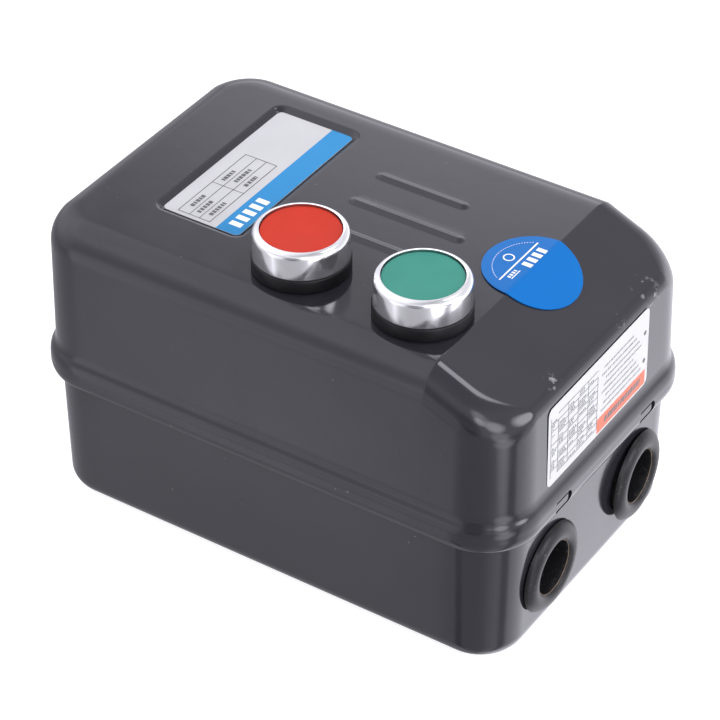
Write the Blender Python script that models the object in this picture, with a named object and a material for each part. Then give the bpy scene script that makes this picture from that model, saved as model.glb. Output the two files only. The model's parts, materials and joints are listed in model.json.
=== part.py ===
"""Enclosed magnetic motor starter, lying on its back.

A drawn steel base holds a contactor with a thermal overload relay plugged into it. A drawn steel cover,
chamfered at the cable end, carries two flush 22 mm push buttons with their contact blocks.

X is the width, Y the length and Z the depth of the box. The origin is the centre of the back face. The
cable end with the chamfer looks along -Y, and the buttons stand on the -X side of the front. Metres.
"""
import math

import bmesh
import bpy
from mathutils import Matrix, Vector

# ---------------------------------------------------------------- driving dimensions
SHEET = 0.0012                  # steel sheet of base and cover
GAP = 0.0003                    # air between pieces that touch
FRONT_Z = 0.1026                # front face of the cover
DRAFT = math.radians(1.0)       # the walls of both drawn shells lean by this

COVER_HALF_W = 0.0547           # at the front face, before the draft widens it
COVER_HALF_L = 0.0838
COVER_CORNER_R = 0.0162
COVER_EDGE_R = (0.0100, 0.0030, 0.0082)     # of the front's edge: sides, chamfered end, other end
CREASE_Y = -0.0558              # where the chamfer starts on the front face
CREASE_R = 0.0022
CHAMFER_SLOPE = math.radians(23.5)
SHOULDER_Z = 0.0580             # the plain wall ends here and swells into the rim
RIM_BULGE = 0.0019              # how far the rim stands proud of the wall
RIM_BOTTOM_Z = 0.0457

BASE_HALF_W = 0.0543            # at the base's open edge
BASE_HALF_L = 0.0832
BASE_CORNER_R = 0.0158
BASE_EDGE_R = 0.0064
BASE_TOP_Z = 0.0540

WINDOW_Z = (0.0476, 0.0518)     # hook windows in the rim of the cable end
WINDOW_X = ((-0.0290, -0.0200), (0.0213, 0.0303))
CABLE_X = 0.0255                # cable entries, either side of the middle
CABLE_Z = 0.0238
CABLE_HOLE_R = 0.0130
GROMMET_R = 0.01485
GROMMET_BORE_R = 0.0086

BUTTON_X = -0.0293
STOP_Y = 0.0020
START_Y = -0.0400
BUTTON_TRAVEL = 0.0042
BEZEL_R = 0.0145
BEZEL_Z = (FRONT_Z + 0.0054, FRONT_Z + 0.0134)
COLLAR_R = 0.0149
CAP_R = 0.0122
CAP_FACE_Z = BEZEL_Z[1] - 0.0006
CAP_DISC = 0.0018               # thickness of the cap's disc
SLEEVE_R = 0.0108               # threaded sleeve of the bezel, and the bore behind its seat
SLEEVE_BORE_R = 0.0094
SLEEVE_END_Z = 0.0860
SPRING_SEAT_Z = 0.0900
ROD_R = 0.0026                  # the cap's rod, which pushes the plunger
ROD_END_Z = 0.0840
PANEL_HOLE_R = 0.0112
BLOCK_Z = (0.0577, 0.0857)      # contact block behind each button
BLOCK_HALF_W = 0.0120
BLOCK_HALF_L = 0.0185

PLATE_X = (-0.0265, 0.0368)     # floor of the pressed pocket that holds the rating plate
PLATE_Y = (0.0268, 0.0548)
POCKET_DEPTH = 0.0012
POCKET_SLOPE = 0.0022           # width of the pocket's sloping rim
RIB_X = (0.0225, 0.0070, -0.0085)
RIB_Y = ((-0.0234, 0.0089), (-0.0314, 0.0086), (-0.0394, 0.0080))
RIB_W = 0.0038
RIB_HEIGHT = 0.0006
STICKER_X = 0.0067
STICKER_R = 0.0155
END_LABEL_X = (-0.0316, 0.0272)
END_LABEL_Z = (0.0586, 0.0875)
COVER_SCREW_Z = 0.0508
COVER_SCREW_R = 0.0019

CONTACTOR_X = 0.0180            # centre of the contactor and of the relay
CONTACTOR_Y = -0.0230
CONTACTOR_HALF_W = 0.0225
CONTACTOR_HALF_L = 0.0370
HOUSING_SPLIT_Z = 0.0450
CONTACTOR_TOP_Z = 0.0855
HEAD_HALF_L = 0.0310
TOWER_HALF_L = 0.0175
FIXED_POLE_Z = 0.0277           # pole faces of the fixed core
ARMATURE_TRAVEL = 0.0055        # air between the two cores while the coil is off
LIMBS = ((-0.0170, -0.0110), (-0.0035, 0.0035), (0.0110, 0.0170))
CORE_HALF_W = 0.0060
POLE_TERMINAL_Z = 0.0612        # seats of the clamp screws
POLE_TERMINAL_Y = 0.0250        # from the contactor's centre
COIL_TERMINAL = (0.0155, 0.0332, 0.0382)
TERMINAL_PITCH = 0.0108
RELAY_Y = (0.0146, 0.0660)
RELAY_TOP_Z = 0.0720
RELAY_STEP = 0.0130             # the relay's terminal step, from its +Y face
RELAY_PITCH = 0.0136
RELAY_TERMINAL = (0.0060, 0.0372)
DIAL_XY = (CONTACTOR_X + 0.0110, 0.0330)
RESET_XY = (CONTACTOR_X - 0.0130, 0.0250)
TRIP_XY = (CONTACTOR_X - 0.0130, 0.0400)
RAIL_HALF_W = 0.0175
RAIL_HEIGHT = 0.0075
RAIL_X = (-0.0125, 0.0460)
RAIL_SCREW_X = (-0.0085, 0.0434)
EARTH_XY = (-0.0230, -0.0660)
MOUNT_HOLE = (0.0410, 0.0640)
MOUNT_HOLE_R = 0.0027
LEAD_R = 0.0010

# ---------------------------------------------------------------- materials
PAINT = ("dark_grey_paint", (0.085, 0.085, 0.100), 0.22, 0.0)
CHROME = ("chrome_plate", (0.80, 0.80, 0.82), 0.10, 1.0)
RUBBER = ("black_rubber", (0.020, 0.020, 0.022), 0.55, 0.0)
BLACK = ("black_plastic", (0.022, 0.022, 0.025), 0.45, 0.0)
CHARCOAL = ("charcoal_plastic", (0.045, 0.047, 0.052), 0.50, 0.0)
CREAM = ("cream_plastic", (0.72, 0.70, 0.62), 0.50, 0.0)
RED = ("red_plastic", (0.75, 0.075, 0.040), 0.35, 0.0)
GREEN = ("green_plastic", (0.080, 0.370, 0.300), 0.35, 0.0)
BLUE = ("blue_plastic", (0.040, 0.160, 0.550), 0.35, 0.0)
PAPER = ("label_film", (0.76, 0.77, 0.78), 0.40, 0.0)
STICKER = ("blue_film", (0.030, 0.280, 0.760), 0.35, 0.0)
ZINC = ("zinc_steel", (0.62, 0.62, 0.60), 0.32, 1.0)
SPRING = ("spring_steel", (0.50, 0.50, 0.50), 0.28, 1.0)
CORE = ("core_steel", (0.36, 0.36, 0.37), 0.45, 1.0)
COPPER = ("copper", (0.76, 0.38, 0.22), 0.30, 1.0)
COIL = ("coil_wrap", (0.42, 0.16, 0.05), 0.45, 0.0)
LEAD_RED = ("red_insulation", (0.60, 0.030, 0.025), 0.40, 0.0)
LEAD_BLUE = ("blue_insulation", (0.020, 0.070, 0.420), 0.40, 0.0)


def clear_scene():
    for obj in list(bpy.data.objects):
        bpy.data.objects.remove(obj, do_unlink=True)


def material(spec):
    name, colour, roughness, metallic = spec
    mat = bpy.data.materials.get(name)
    if mat is None:
        mat = bpy.data.materials.new(name)
        mat.use_nodes = True
        shader = mat.node_tree.nodes["Principled BSDF"]
        shader.inputs["Base Color"].default_value = (*colour, 1.0)
        shader.inputs["Roughness"].default_value = roughness
        shader.inputs["Metallic"].default_value = metallic
        mat.diffuse_color = (*colour, 1.0)
    return mat


# ---------------------------------------------------------------- making objects
def make(name, bm, spec, origin=(0.0, 0.0, 0.0), smooth=False):
    """Turns a bmesh in world coordinates into a named object whose origin is at the given point."""
    bmesh.ops.recalc_face_normals(bm, faces=bm.faces)
    bmesh.ops.translate(bm, verts=bm.verts, vec=-Vector(origin))
    mesh = bpy.data.meshes.new(name)
    bm.to_mesh(mesh)
    bm.free()
    if smooth:
        mesh.shade_smooth()
        mesh.set_sharp_from_angle(angle=math.radians(35))
    obj = bpy.data.objects.new(name, mesh)
    obj.location = origin
    bpy.context.scene.collection.objects.link(obj)
    if spec is not None:
        mesh.materials.append(material(spec))
    return obj


def boolean(obj, bm, operation, name):
    """Cuts a shape out of the object, or joins it on, with a hidden helper mesh."""
    helper = make(name, bm, None)
    helper.hide_render = True
    helper.display_type = "WIRE"
    modifier = obj.modifiers.new(name, "BOOLEAN")
    modifier.operation = operation
    modifier.object = helper
    modifier.solver = "EXACT"


def cut(obj, bm, name):
    boolean(obj, bm, "DIFFERENCE", name)


def join(obj, bm, name):
    boolean(obj, bm, "UNION", name)


def add_box(bm, x, y, z):
    """A box between the given (low, high) pairs."""
    size = Matrix.Diagonal((x[1] - x[0], y[1] - y[0], z[1] - z[0], 1.0))
    centre = Matrix.Translation((sum(x) / 2, sum(y) / 2, sum(z) / 2))
    bmesh.ops.create_cube(bm, size=1.0, matrix=centre @ size)
    return bm


def box(x, y, z):
    return add_box(bmesh.new(), x, y, z)


def add_rod(bm, centre, axis, radius, start, end, sides=16):
    """A closed cylinder along an axis, between two distances from its centre point."""
    turn = Vector(axis).to_track_quat("Z", "Y").to_matrix().to_4x4()
    middle = Vector(centre) + Vector(axis) * ((start + end) / 2)
    bmesh.ops.create_cone(bm, cap_ends=True, segments=sides, radius1=radius, radius2=radius,
                          depth=end - start, matrix=Matrix.Translation(middle) @ turn)
    return bm


def add_prism(bm, outline, low, high, normal="Z"):
    """An outline of flat points, extruded along the named axis."""
    def point(a, b, c):
        return {"Z": (a, b, c), "Y": (a, c, b), "X": (c, a, b)}[normal]
    ends = [[bm.verts.new(point(a, b, c)) for a, b in outline] for c in (low, high)]
    bm.faces.new(ends[0])
    bm.faces.new(ends[1])
    for i in range(len(outline)):
        j = (i + 1) % len(outline)
        bm.faces.new((ends[0][i], ends[0][j], ends[1][j], ends[1][i]))
    return bm


def add_frustum(bm, low_outline, high_outline, low, high):
    """A solid that changes from one outline to another of as many points, from the low end to the high end."""
    ends = [[bm.verts.new((x, y, z)) for x, y in outline]
            for outline, z in ((low_outline, low), (high_outline, high))]
    bm.faces.new(ends[0])
    bm.faces.new(ends[1])
    for i in range(len(low_outline)):
        j = (i + 1) % len(low_outline)
        bm.faces.new((ends[0][i], ends[0][j], ends[1][j], ends[1][i]))
    return bm


def arc(cx, cy, radius, first, last, steps):
    """Points on an arc, from the first angle to the last in degrees."""
    angles = [math.radians(first + (last - first) * i / steps) for i in range(steps + 1)]
    return [(cx + radius * math.cos(a), cy + radius * math.sin(a)) for a in angles]


def rounded_rectangle(x, y, radius, steps=3):
    return (arc(x[1] - radius, y[0] + radius, radius, -90, 0, steps)
            + arc(x[1] - radius, y[1] - radius, radius, 0, 90, steps)
            + arc(x[0] + radius, y[1] - radius, radius, 90, 180, steps)
            + arc(x[0] + radius, y[0] + radius, radius, 180, 270, steps))


def turned(profile, centre, axis=(0, 0, 1), sides=24):
    """A ring or a solid turned from a closed profile of (radius, distance along the axis) points."""
    bm = bmesh.new()
    turn = Vector(axis).to_track_quat("Z", "Y").to_matrix()
    rings = []
    for radius, along in profile:
        steps = 1 if radius == 0.0 else sides
        angles = [2 * math.pi * k / sides for k in range(steps)]
        rings.append([bm.verts.new(Vector(centre) + turn @ Vector(
            (radius * math.cos(a), radius * math.sin(a), along))) for a in angles])
    for ring, following in zip(rings, rings[1:] + rings[:1]):
        for k in range(sides):
            j = (k + 1) % sides
            corners = [ring[k % len(ring)], ring[j % len(ring)],
                       following[j % len(following)], following[k % len(following)]]
            unique = list(dict.fromkeys(corners))
            if len(unique) > 2:
                bm.faces.new(unique)
    return bm


def swept(points, radius, sides):
    """A round bar of constant section that follows the points, with flat ends."""
    bm = bmesh.new()
    rings = []
    up = Vector((0, 0, 1))
    for i, point in enumerate(points):
        along = (points[min(i + 1, len(points) - 1)] - points[max(i - 1, 0)]).normalized()
        side = up.cross(along)
        if side.length < 0.3:
            side = Vector((1, 0, 0)) - along * along.x
        side.normalize()
        across = along.cross(side)
        up = across if abs(along.z) > 0.9 else Vector((0, 0, 1))
        rings.append([bm.verts.new(point + radius * (math.cos(a) * side + math.sin(a) * across))
                      for a in (2 * math.pi * k / sides for k in range(sides))])
    for ring, following in zip(rings, rings[1:]):
        for k in range(sides):
            j = (k + 1) % sides
            bm.faces.new((ring[k], ring[j], following[j], following[k]))
    bm.faces.new(rings[0])
    bm.faces.new(rings[-1])
    return bm


def coil_spring(name, centre, radius, wire, low, high, turns):
    """A compression spring: one helix from the low end to the high end."""
    steps = turns * 8
    points = [Vector((centre[0] + radius * math.cos(math.radians(45) * i),
                      centre[1] + radius * math.sin(math.radians(45) * i),
                      low + wire + (high - low - 2 * wire) * i / steps)) for i in range(steps + 1)]
    return make(name, swept(points, wire, 5), SPRING, smooth=True)


def screw(name, centre, axis, head_r, head_h, shank_r, shank_l, spec=ZINC):
    """A slotted pan-head screw whose head starts at the centre point and looks along the axis."""
    profile = [(0.0, head_h), (0.72 * head_r, head_h), (head_r, 0.55 * head_h), (head_r, 0.0),
               (shank_r, 0.0), (shank_r, -shank_l), (0.0, -shank_l)]
    obj = make(name, turned(profile, centre, axis, 12), spec, smooth=True)
    turn = Vector(axis).to_track_quat("Z", "Y").to_matrix().to_4x4()
    slot = bmesh.new()
    size = Matrix.Diagonal((2.4 * head_r, 0.24 * head_r, 0.9 * head_h, 1.0))
    bmesh.ops.create_cube(slot, size=1.0, matrix=Matrix.Translation(Vector(centre) + Vector(axis) * head_h)
                          @ turn @ size)
    cut(obj, slot, name + "_slot")
    return obj


# ---------------------------------------------------------------- drawn shells
def chamfer_drop(y):
    """How far the cover's front lies below its flat part, at this place along the length."""
    slope = math.tan(CHAMFER_SLOPE)
    tangent = CREASE_R * math.tan(CHAMFER_SLOPE / 2)
    along = CREASE_Y + tangent - y
    if along <= 0.0:
        return 0.0
    if along < CREASE_R * math.sin(CHAMFER_SLOPE):
        return CREASE_R - math.sqrt(CREASE_R ** 2 - along ** 2)
    return (CREASE_Y - y) * slope


def half_loop(half_w, half_l, radius, ring, stations, steps=6):
    """The +X half of a rounded rectangle, from the -Y end to the +Y end, as (x, y, z, share of the drop)."""
    points = []
    for first, y in ((-90, -half_l + radius), (0, half_l - radius)):
        for step in range(steps + 1):
            facing = first + 90 * step / steps
            inset, z, share = ring(facing)
            a = math.radians(facing)
            points.append((half_w - radius + (radius - inset) * math.cos(a), y + (radius - inset) * math.sin(a),
                           z, share))
        if first == -90:
            inset, z, share = ring(0)
            points += [(half_w - inset, station, z, share) for station in stations]
    return points


def drawn_shell(name, half_w, half_l, radius, rings, stations, drop):
    """A tray: its flat face inside the first ring, then its walls ring by ring to the open edge."""
    bm = bmesh.new()
    loops = []
    for ring in rings:
        half = half_loop(half_w, half_l, radius, ring, stations)
        right = [bm.verts.new((x, y, z - share * drop(y))) for x, y, z, share in half]
        left = [bm.verts.new((-x, y, z - share * drop(y))) for x, y, z, share in half]
        loops.append(right + left[::-1])
    count = len(loops[0])
    for i in range(count // 2 - 1):
        face = loops[0]
        bm.faces.new((face[i], face[i + 1], face[count - 2 - i], face[count - 1 - i]))
    for upper, lower in zip(loops, loops[1:]):
        for i in range(count):
            j = (i + 1) % count
            bm.faces.new((upper[i], lower[i], lower[j], upper[j]))
    obj = make(name, bm, PAINT, smooth=True)
    solidify = obj.modifiers.new("sheet", "SOLIDIFY")
    solidify.thickness = SHEET
    solidify.offset = -1.0
    solidify.use_even_offset = True
    return obj


def level(inset, z):
    """A ring with the same inset all round."""
    return lambda facing: (inset, z, 0.0)


def cover_edge_radius(facing):
    """Radius of the front's edge, which tightens round the corners towards each end; facing in degrees."""
    sides, near_end, far_end = COVER_EDGE_R
    end = near_end if facing < 0 else far_end
    return sides + (end - sides) * abs(facing / 90) ** 3


def cover_rings():
    """Rings from the front face down to the rim's edge: facing gives inset, z and share of the chamfer."""
    def lean(z):
        return -(FRONT_Z - z) * math.tan(DRAFT)

    def edge(a):
        def ring(facing):
            radius = cover_edge_radius(facing)
            z = FRONT_Z - radius * (1 - math.sin(a))
            return (radius * (1 - math.cos(a)) + lean(z), z, 1.0)
        return ring
    rings = [edge(math.radians(90 - 18 * step)) for step in range(6)]
    rings.append(level(lean(SHOULDER_Z), SHOULDER_Z))
    for z, bulge in ((0.0562, 0.20), (0.0544, 0.75), (0.0526, 1.0), (0.0488, 1.0), (0.0469, 0.68)):
        rings.append(level(lean(z) - RIM_BULGE * bulge, z))
    rings.append(level(lean(RIM_BOTTOM_Z) + 0.0003, RIM_BOTTOM_Z))
    return rings


def base_rings():
    """Rings from the back face up to the open edge."""
    def lean(z):
        return (BASE_TOP_Z - z) * math.tan(DRAFT)
    rings = []
    for step in range(5):
        a = math.radians(90 - 22.5 * step)
        z = BASE_EDGE_R * (1 - math.sin(a))
        rings.append(level(BASE_EDGE_R * (1 - math.cos(a)) + lean(z), z))
    rings.append(level(0.0, BASE_TOP_Z))
    return rings


def base_wall_y(z):
    """Outer face of the base's end walls at a height."""
    return BASE_HALF_L - (BASE_TOP_Z - z) * math.tan(DRAFT)


def d_outline(x, z, steps=5):
    """A window with one square end and one round end."""
    radius = (z[1] - z[0]) / 2
    return [(x[0], z[0])] + arc(x[1] - radius, z[0] + radius, radius, -90, 90, steps) + [(x[0], z[1])]


def base_tray():
    tray = drawn_shell("base_tray", BASE_HALF_W, BASE_HALF_L, BASE_CORNER_R, base_rings(), [0.0],
                       lambda y: 0.0)
    holes = bmesh.new()
    for side in (-1, 1):
        for end in (-1, 1):
            wall = base_wall_y(CABLE_Z)
            add_rod(holes, (side * CABLE_X, 0, CABLE_Z), (0, end, 0), CABLE_HOLE_R,
                    wall - 0.006, wall + 0.006, 20)
            add_rod(holes, (side * MOUNT_HOLE[0], end * MOUNT_HOLE[1], 0), (0, 0, 1), MOUNT_HOLE_R,
                    -0.003, 0.004, 12)
    cut(tray, holes, "tray_holes")
    slots = bmesh.new()
    for x0, x1 in WINDOW_X:
        # a lanced tongue behind each window of the cover, free above and at the window's round end
        tongue = [(x0 + 0.0010, 0.0506), (x1 - 0.0021, 0.0506), (x1 - 0.0021, 0.0470),
                  (x1 - 0.0012, 0.0470), (x1 - 0.0012, 0.0514), (x0 + 0.0010, 0.0514)]
        add_prism(slots, tongue, -0.086, -0.078, "Y")
    add_box(slots, (-0.0025, 0.0025), (0.078, 0.086), (0.0480, 0.0600))
    cut(tray, slots, "tray_slots")
    screw_holes = bmesh.new()
    add_rod(screw_holes, (EARTH_XY[0], EARTH_XY[1], 0), (0, 0, 1), 0.0024, -0.003, 0.004, 12)
    for x in RAIL_SCREW_X:
        add_rod(screw_holes, (x, CONTACTOR_Y, 0), (0, 0, 1), 0.0018, -0.003, 0.004, 12)
    cut(tray, screw_holes, "tray_screw_holes")
    return tray


def cover_shell():
    tangent = CREASE_R * math.tan(CHAMFER_SLOPE / 2)
    stations = [CREASE_Y - tangent, CREASE_Y, CREASE_Y + tangent]
    shell = drawn_shell("cover_shell", COVER_HALF_W, COVER_HALF_L, COVER_CORNER_R, cover_rings(),
                        stations, chamfer_drop)
    press_front(shell)
    holes = bmesh.new()
    for y in (STOP_Y, START_Y):
        add_rod(holes, (BUTTON_X, y, FRONT_Z), (0, 0, 1), PANEL_HOLE_R, -0.006, 0.004, 24)
    for x in WINDOW_X:
        add_prism(holes, d_outline(x, WINDOW_Z), -0.092, -0.0815, "Y")
    add_rod(holes, (0, 0.084, COVER_SCREW_Z), (0, 1, 0), 0.0023, -0.006, 0.006, 12)
    cut(shell, holes, "cover_holes")
    return shell


def plate_outline(grow):
    """The pocket's floor, grown sideways."""
    x0, x1 = PLATE_X
    y0, y1 = PLATE_Y
    return rounded_rectangle((x0 - grow, x1 + grow), (y0 - grow, y1 + grow), 0.0018 + grow)


def rib_outline(x, y, grow):
    half = RIB_W / 2 + grow
    return rounded_rectangle((x - half, x + half), (y[0] - grow, y[1] + grow), half - 1e-5, 4)


def press_front(shell):
    """Presses the pocket for the rating plate inwards and the three ribs outwards, at full sheet thickness."""
    under = FRONT_Z - SHEET
    slack = 0.0005
    pad = add_frustum(bmesh.new(), plate_outline(0.0006), plate_outline(0.0006 + POCKET_SLOPE),
                      under - POCKET_DEPTH, under + slack)
    for x, y in zip(RIB_X, RIB_Y):
        add_frustum(pad, rib_outline(x, y, 0.0), rib_outline(x, y, -0.0008), FRONT_Z - slack,
                    FRONT_Z + RIB_HEIGHT)
    join(shell, pad, "pressed_out")
    die = add_frustum(bmesh.new(), plate_outline(0.0), plate_outline(POCKET_SLOPE + slack),
                      FRONT_Z - POCKET_DEPTH, FRONT_Z + slack)
    for x, y in zip(RIB_X, RIB_Y):
        add_frustum(die, rib_outline(x, y, -0.0006), rib_outline(x, y, -0.0013), under - slack,
                    under + RIB_HEIGHT)
    cut(shell, die, "pressed_in")


# ---------------------------------------------------------------- labels
def rating_plate():
    inset = 0.0005
    floor = FRONT_Z - POCKET_DEPTH
    outline = rounded_rectangle((PLATE_X[0] + inset, PLATE_X[1] - inset),
                                (PLATE_Y[0] + inset, PLATE_Y[1] - inset), 0.0012)
    bm = add_prism(bmesh.new(), outline, floor + GAP, floor + GAP + 0.0005)
    return make("rating_plate", bm, PAPER)


def power_sticker():
    """A round film stuck over the crease, half on the front and half on the chamfer."""
    bm = bmesh.new()
    steps = 16
    lift, film = 0.0002, 0.0003
    rows = []
    for i in range(steps + 1):
        across = -STICKER_R * math.cos(math.pi * i / steps)
        y = CREASE_Y + (across if across > 0 else across * math.cos(CHAMFER_SLOPE))
        half = math.sqrt(max(STICKER_R ** 2 - across ** 2, 1e-7))
        z = FRONT_Z - max(0.0, (CREASE_Y - y) * math.tan(CHAMFER_SLOPE)) + lift
        rows.append([[bm.verts.new((STICKER_X + side * half, y, z + top)) for side in (-1, 1)]
                     for top in (0.0, film)])
    for row, following in zip(rows, rows[1:]):
        for top in (0, 1):
            bm.faces.new((row[top][0], row[top][1], following[top][1], following[top][0]))
        for side in (0, 1):
            bm.faces.new((row[0][side], row[1][side], following[1][side], following[0][side]))
    for row in (rows[0], rows[-1]):
        bm.faces.new((row[0][0], row[0][1], row[1][1], row[1][0]))
    return make("power_sticker", bm, STICKER)


def end_label():
    """A flat film on the cable end of the cover, leaning with the wall."""
    outline = rounded_rectangle(END_LABEL_X, END_LABEL_Z, 0.0022)
    lean = math.tan(DRAFT)
    bm = bmesh.new()
    face = -COVER_HALF_L - FRONT_Z * lean
    add_prism(bm, outline, face - GAP - 0.0003, face - GAP, "Y")
    for vertex in bm.verts:
        vertex.co.y += vertex.co.z * lean
    return make("end_label", bm, PAPER)


# ---------------------------------------------------------------- cover screw
def cover_fixing():
    rim_y = COVER_HALF_L + (FRONT_Z - COVER_SCREW_Z) * math.tan(DRAFT) + RIM_BULGE
    head_y = rim_y + GAP
    screw("cover_screw", (0, head_y, COVER_SCREW_Z), (0, 1, 0), 0.0040, 0.0024, COVER_SCREW_R, 0.0085)
    inner = base_wall_y(COVER_SCREW_Z) - SHEET - GAP
    nut = box((-0.0045, 0.0045), (inner - 0.0026, inner), (COVER_SCREW_Z - 0.0045, COVER_SCREW_Z + 0.0045))
    obj = make("cover_nut", nut, ZINC)
    bore = add_rod(bmesh.new(), (0, inner, COVER_SCREW_Z), (0, 1, 0), COVER_SCREW_R + GAP, -0.005, 0.003, 14)
    cut(obj, bore, "cover_nut_bore")


# ---------------------------------------------------------------- grommets
def grommet(name, x, end, tilt=0.0):
    """A cable grommet snapped into an end wall; the hole narrows towards the inside."""
    mm = 0.001
    profile = [(GROMMET_BORE_R, 2.4 * mm), (10.2 * mm, 3.4 * mm), (12.6 * mm, 3.1 * mm),
               (14.3 * mm, 2.1 * mm), (GROMMET_R, 0.9 * mm), (14.3 * mm, 0.5 * mm),
               (12.2 * mm, 0.5 * mm), (12.2 * mm, -2.7 * mm), (14.2 * mm, -2.7 * mm),
               (13.4 * mm, -4.6 * mm), (9.9 * mm, -7.5 * mm), (7.9 * mm, -7.5 * mm)]
    proud = CABLE_HOLE_R * math.sin(tilt) * 0.8
    wall = Vector((x, end * (base_wall_y(CABLE_Z) + proud), CABLE_Z))
    axis = Vector((math.sin(tilt), end * math.cos(tilt), 0))
    return make(name, turned(profile, wall, axis, 18), RUBBER, smooth=True)


# ---------------------------------------------------------------- push buttons
def button_head(prefix, y, cap_spec):
    """The collar, the bezel with its threaded sleeve, the cap with its rod, the spring and the lock nut."""
    centre = (BUTTON_X, y, 0.0)
    hole = PANEL_HOLE_R - 0.00005
    collar = [(hole, FRONT_Z + GAP), (COLLAR_R, FRONT_Z + GAP), (COLLAR_R, FRONT_Z + 0.0046),
              (COLLAR_R - 0.0005, FRONT_Z + 0.0051), (hole, FRONT_Z + 0.0051)]
    make(prefix + "_collar", turned(collar, centre), RUBBER, smooth=True)

    low, top = BEZEL_Z
    floor = CAP_FACE_Z - CAP_DISC - BUTTON_TRAVEL - 0.0004
    bezel = [(BEZEL_R - 0.0004, low), (BEZEL_R, low + 0.0005), (BEZEL_R, top - 0.0017),
             (BEZEL_R - 0.0006, top - 0.0004), (BEZEL_R - 0.0013, top), (CAP_R + GAP, top - 0.0004),
             (CAP_R + GAP, floor), (SLEEVE_BORE_R, floor), (SLEEVE_BORE_R, SPRING_SEAT_Z),
             (0.0040, SPRING_SEAT_Z - 0.0010), (0.0040, SLEEVE_END_Z), (SLEEVE_R, SLEEVE_END_Z),
             (SLEEVE_R, low)]
    make(prefix + "_bezel", turned(bezel, centre), CHROME, smooth=True)

    boss_r, boss_end = 0.0090, CAP_FACE_Z - 0.0080
    cap = [(0.0, CAP_FACE_Z), (CAP_R - 0.0005, CAP_FACE_Z), (CAP_R, CAP_FACE_Z - 0.0005),
           (CAP_R, CAP_FACE_Z - CAP_DISC), (boss_r, CAP_FACE_Z - CAP_DISC), (boss_r, boss_end),
           (ROD_R, boss_end), (ROD_R, ROD_END_Z), (0.0, ROD_END_Z)]
    make(prefix + "_cap", turned(cap, centre), cap_spec, (BUTTON_X, y, CAP_FACE_Z), smooth=True)
    coil_spring(prefix + "_spring", centre, 0.0066, 0.0005, SPRING_SEAT_Z + GAP, boss_end - GAP, 4)

    nut_top, nut_r = FRONT_Z - SHEET - GAP, 0.0152
    corners = [math.radians(60 * k) for k in range(6)]
    hexagon = [(BUTTON_X + nut_r * math.cos(a), y + nut_r * math.sin(a)) for a in corners]
    nut = make(prefix + "_lock_nut", add_prism(bmesh.new(), hexagon, nut_top - 0.0040, nut_top), ZINC)
    bore = add_rod(bmesh.new(), centre, (0, 0, 1), SLEEVE_R + GAP, 0.09, 0.105, 24)
    cut(nut, bore, prefix + "_nut_bore")


def contact_block(prefix, y):
    """The switch behind a button. Its slot guides the plunger with the contact bridge."""
    low, high = BLOCK_Z
    case = make(prefix + "_contact_block",
                box((BUTTON_X - BLOCK_HALF_W, BUTTON_X + BLOCK_HALF_W), (y - BLOCK_HALF_L, y + BLOCK_HALF_L),
                    BLOCK_Z), BLACK)
    slot = box((BUTTON_X - 0.0030, BUTTON_X + 0.0030), (y - 0.0100, y + 0.0100), (low - 0.002, high + 0.002))
    cut(case, slot, prefix + "_block_slot")
    wells = bmesh.new()
    for side in (-1, 1):
        end = tuple(sorted((y + side * 0.0120, y + side * 0.0200)))
        add_box(wells, (BUTTON_X + 0.0054, BUTTON_X + 0.0130), end, (0.0640, 0.0740))
    cut(case, wells, prefix + "_block_wells")

    top = ROD_END_Z - GAP
    plunger = box((BUTTON_X - 0.0024, BUTTON_X + 0.0024), (y - 0.0030, y + 0.0030), (top - 0.0207, top))
    obj = make(prefix + "_plunger", plunger, CREAM, (BUTTON_X, y, top))
    bridge = box((BUTTON_X - 0.0018, BUTTON_X + 0.0018), (y - 0.0092, y + 0.0092), (0.0700, 0.0716))
    join(obj, bridge, prefix + "_bridge")


# ---------------------------------------------------------------- contactor
def local(dx0, dx1):
    """A span across the contactor, from its centre line."""
    return (CONTACTOR_X + dx0, CONTACTOR_X + dx1)


def mounting_rail():
    """A length of top-hat rail lying across the base, open side down."""
    w, flange, h, t = RAIL_HALF_W, 0.0045, RAIL_HEIGHT, 0.0010
    low = SHEET + GAP
    hat = [(-w, low + h), (-w, low + h - t), (-w + flange - t, low + h - t), (-w + flange - t, low),
           (w - flange + t, low), (w - flange + t, low + h - t), (w, low + h - t), (w, low + h),
           (w - flange, low + h), (w - flange, low + t), (-w + flange, low + t), (-w + flange, low + h)]
    outline = [(CONTACTOR_Y + y, z) for y, z in hat]
    rail = make("mounting_rail", add_prism(bmesh.new(), outline, *RAIL_X, "X"), ZINC)
    holes = bmesh.new()
    for x in RAIL_SCREW_X:
        add_rod(holes, (x, CONTACTOR_Y, 0), (0, 0, 1), 0.0019, 0.0, 0.005, 12)
    cut(rail, holes, "rail_holes")


def contactor_base():
    """The lower housing. It hooks over the rail, and holds the magnet."""
    half_l, y = CONTACTOR_HALF_L, CONTACTOR_Y
    width = local(-CONTACTOR_HALF_W, CONTACTOR_HALF_W)
    obj = make("contactor_base", box(width, (y - half_l, y + half_l), (0.0018, HOUSING_SPLIT_Z)), CHARCOAL)
    cavity = box(local(-0.0195, 0.0195), (y - 0.0280, y + 0.0280), (0.0120, 0.0500))
    cut(obj, cavity, "magnet_cavity")
    recess = box(local(-0.03, 0.03), (y - RAIL_HALF_W - 0.0006, y + RAIL_HALF_W + 0.0006), (0.0, 0.0096))
    cut(obj, recess, "rail_recess")
    wells = bmesh.new()
    for side in (-1, 1):
        dx = side * COIL_TERMINAL[0]
        add_box(wells, local(dx - 0.0042, dx + 0.0042), (y - 0.0400, y - 0.0292), (0.0340, 0.0500))
    cut(obj, wells, "coil_terminal_wells")


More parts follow.
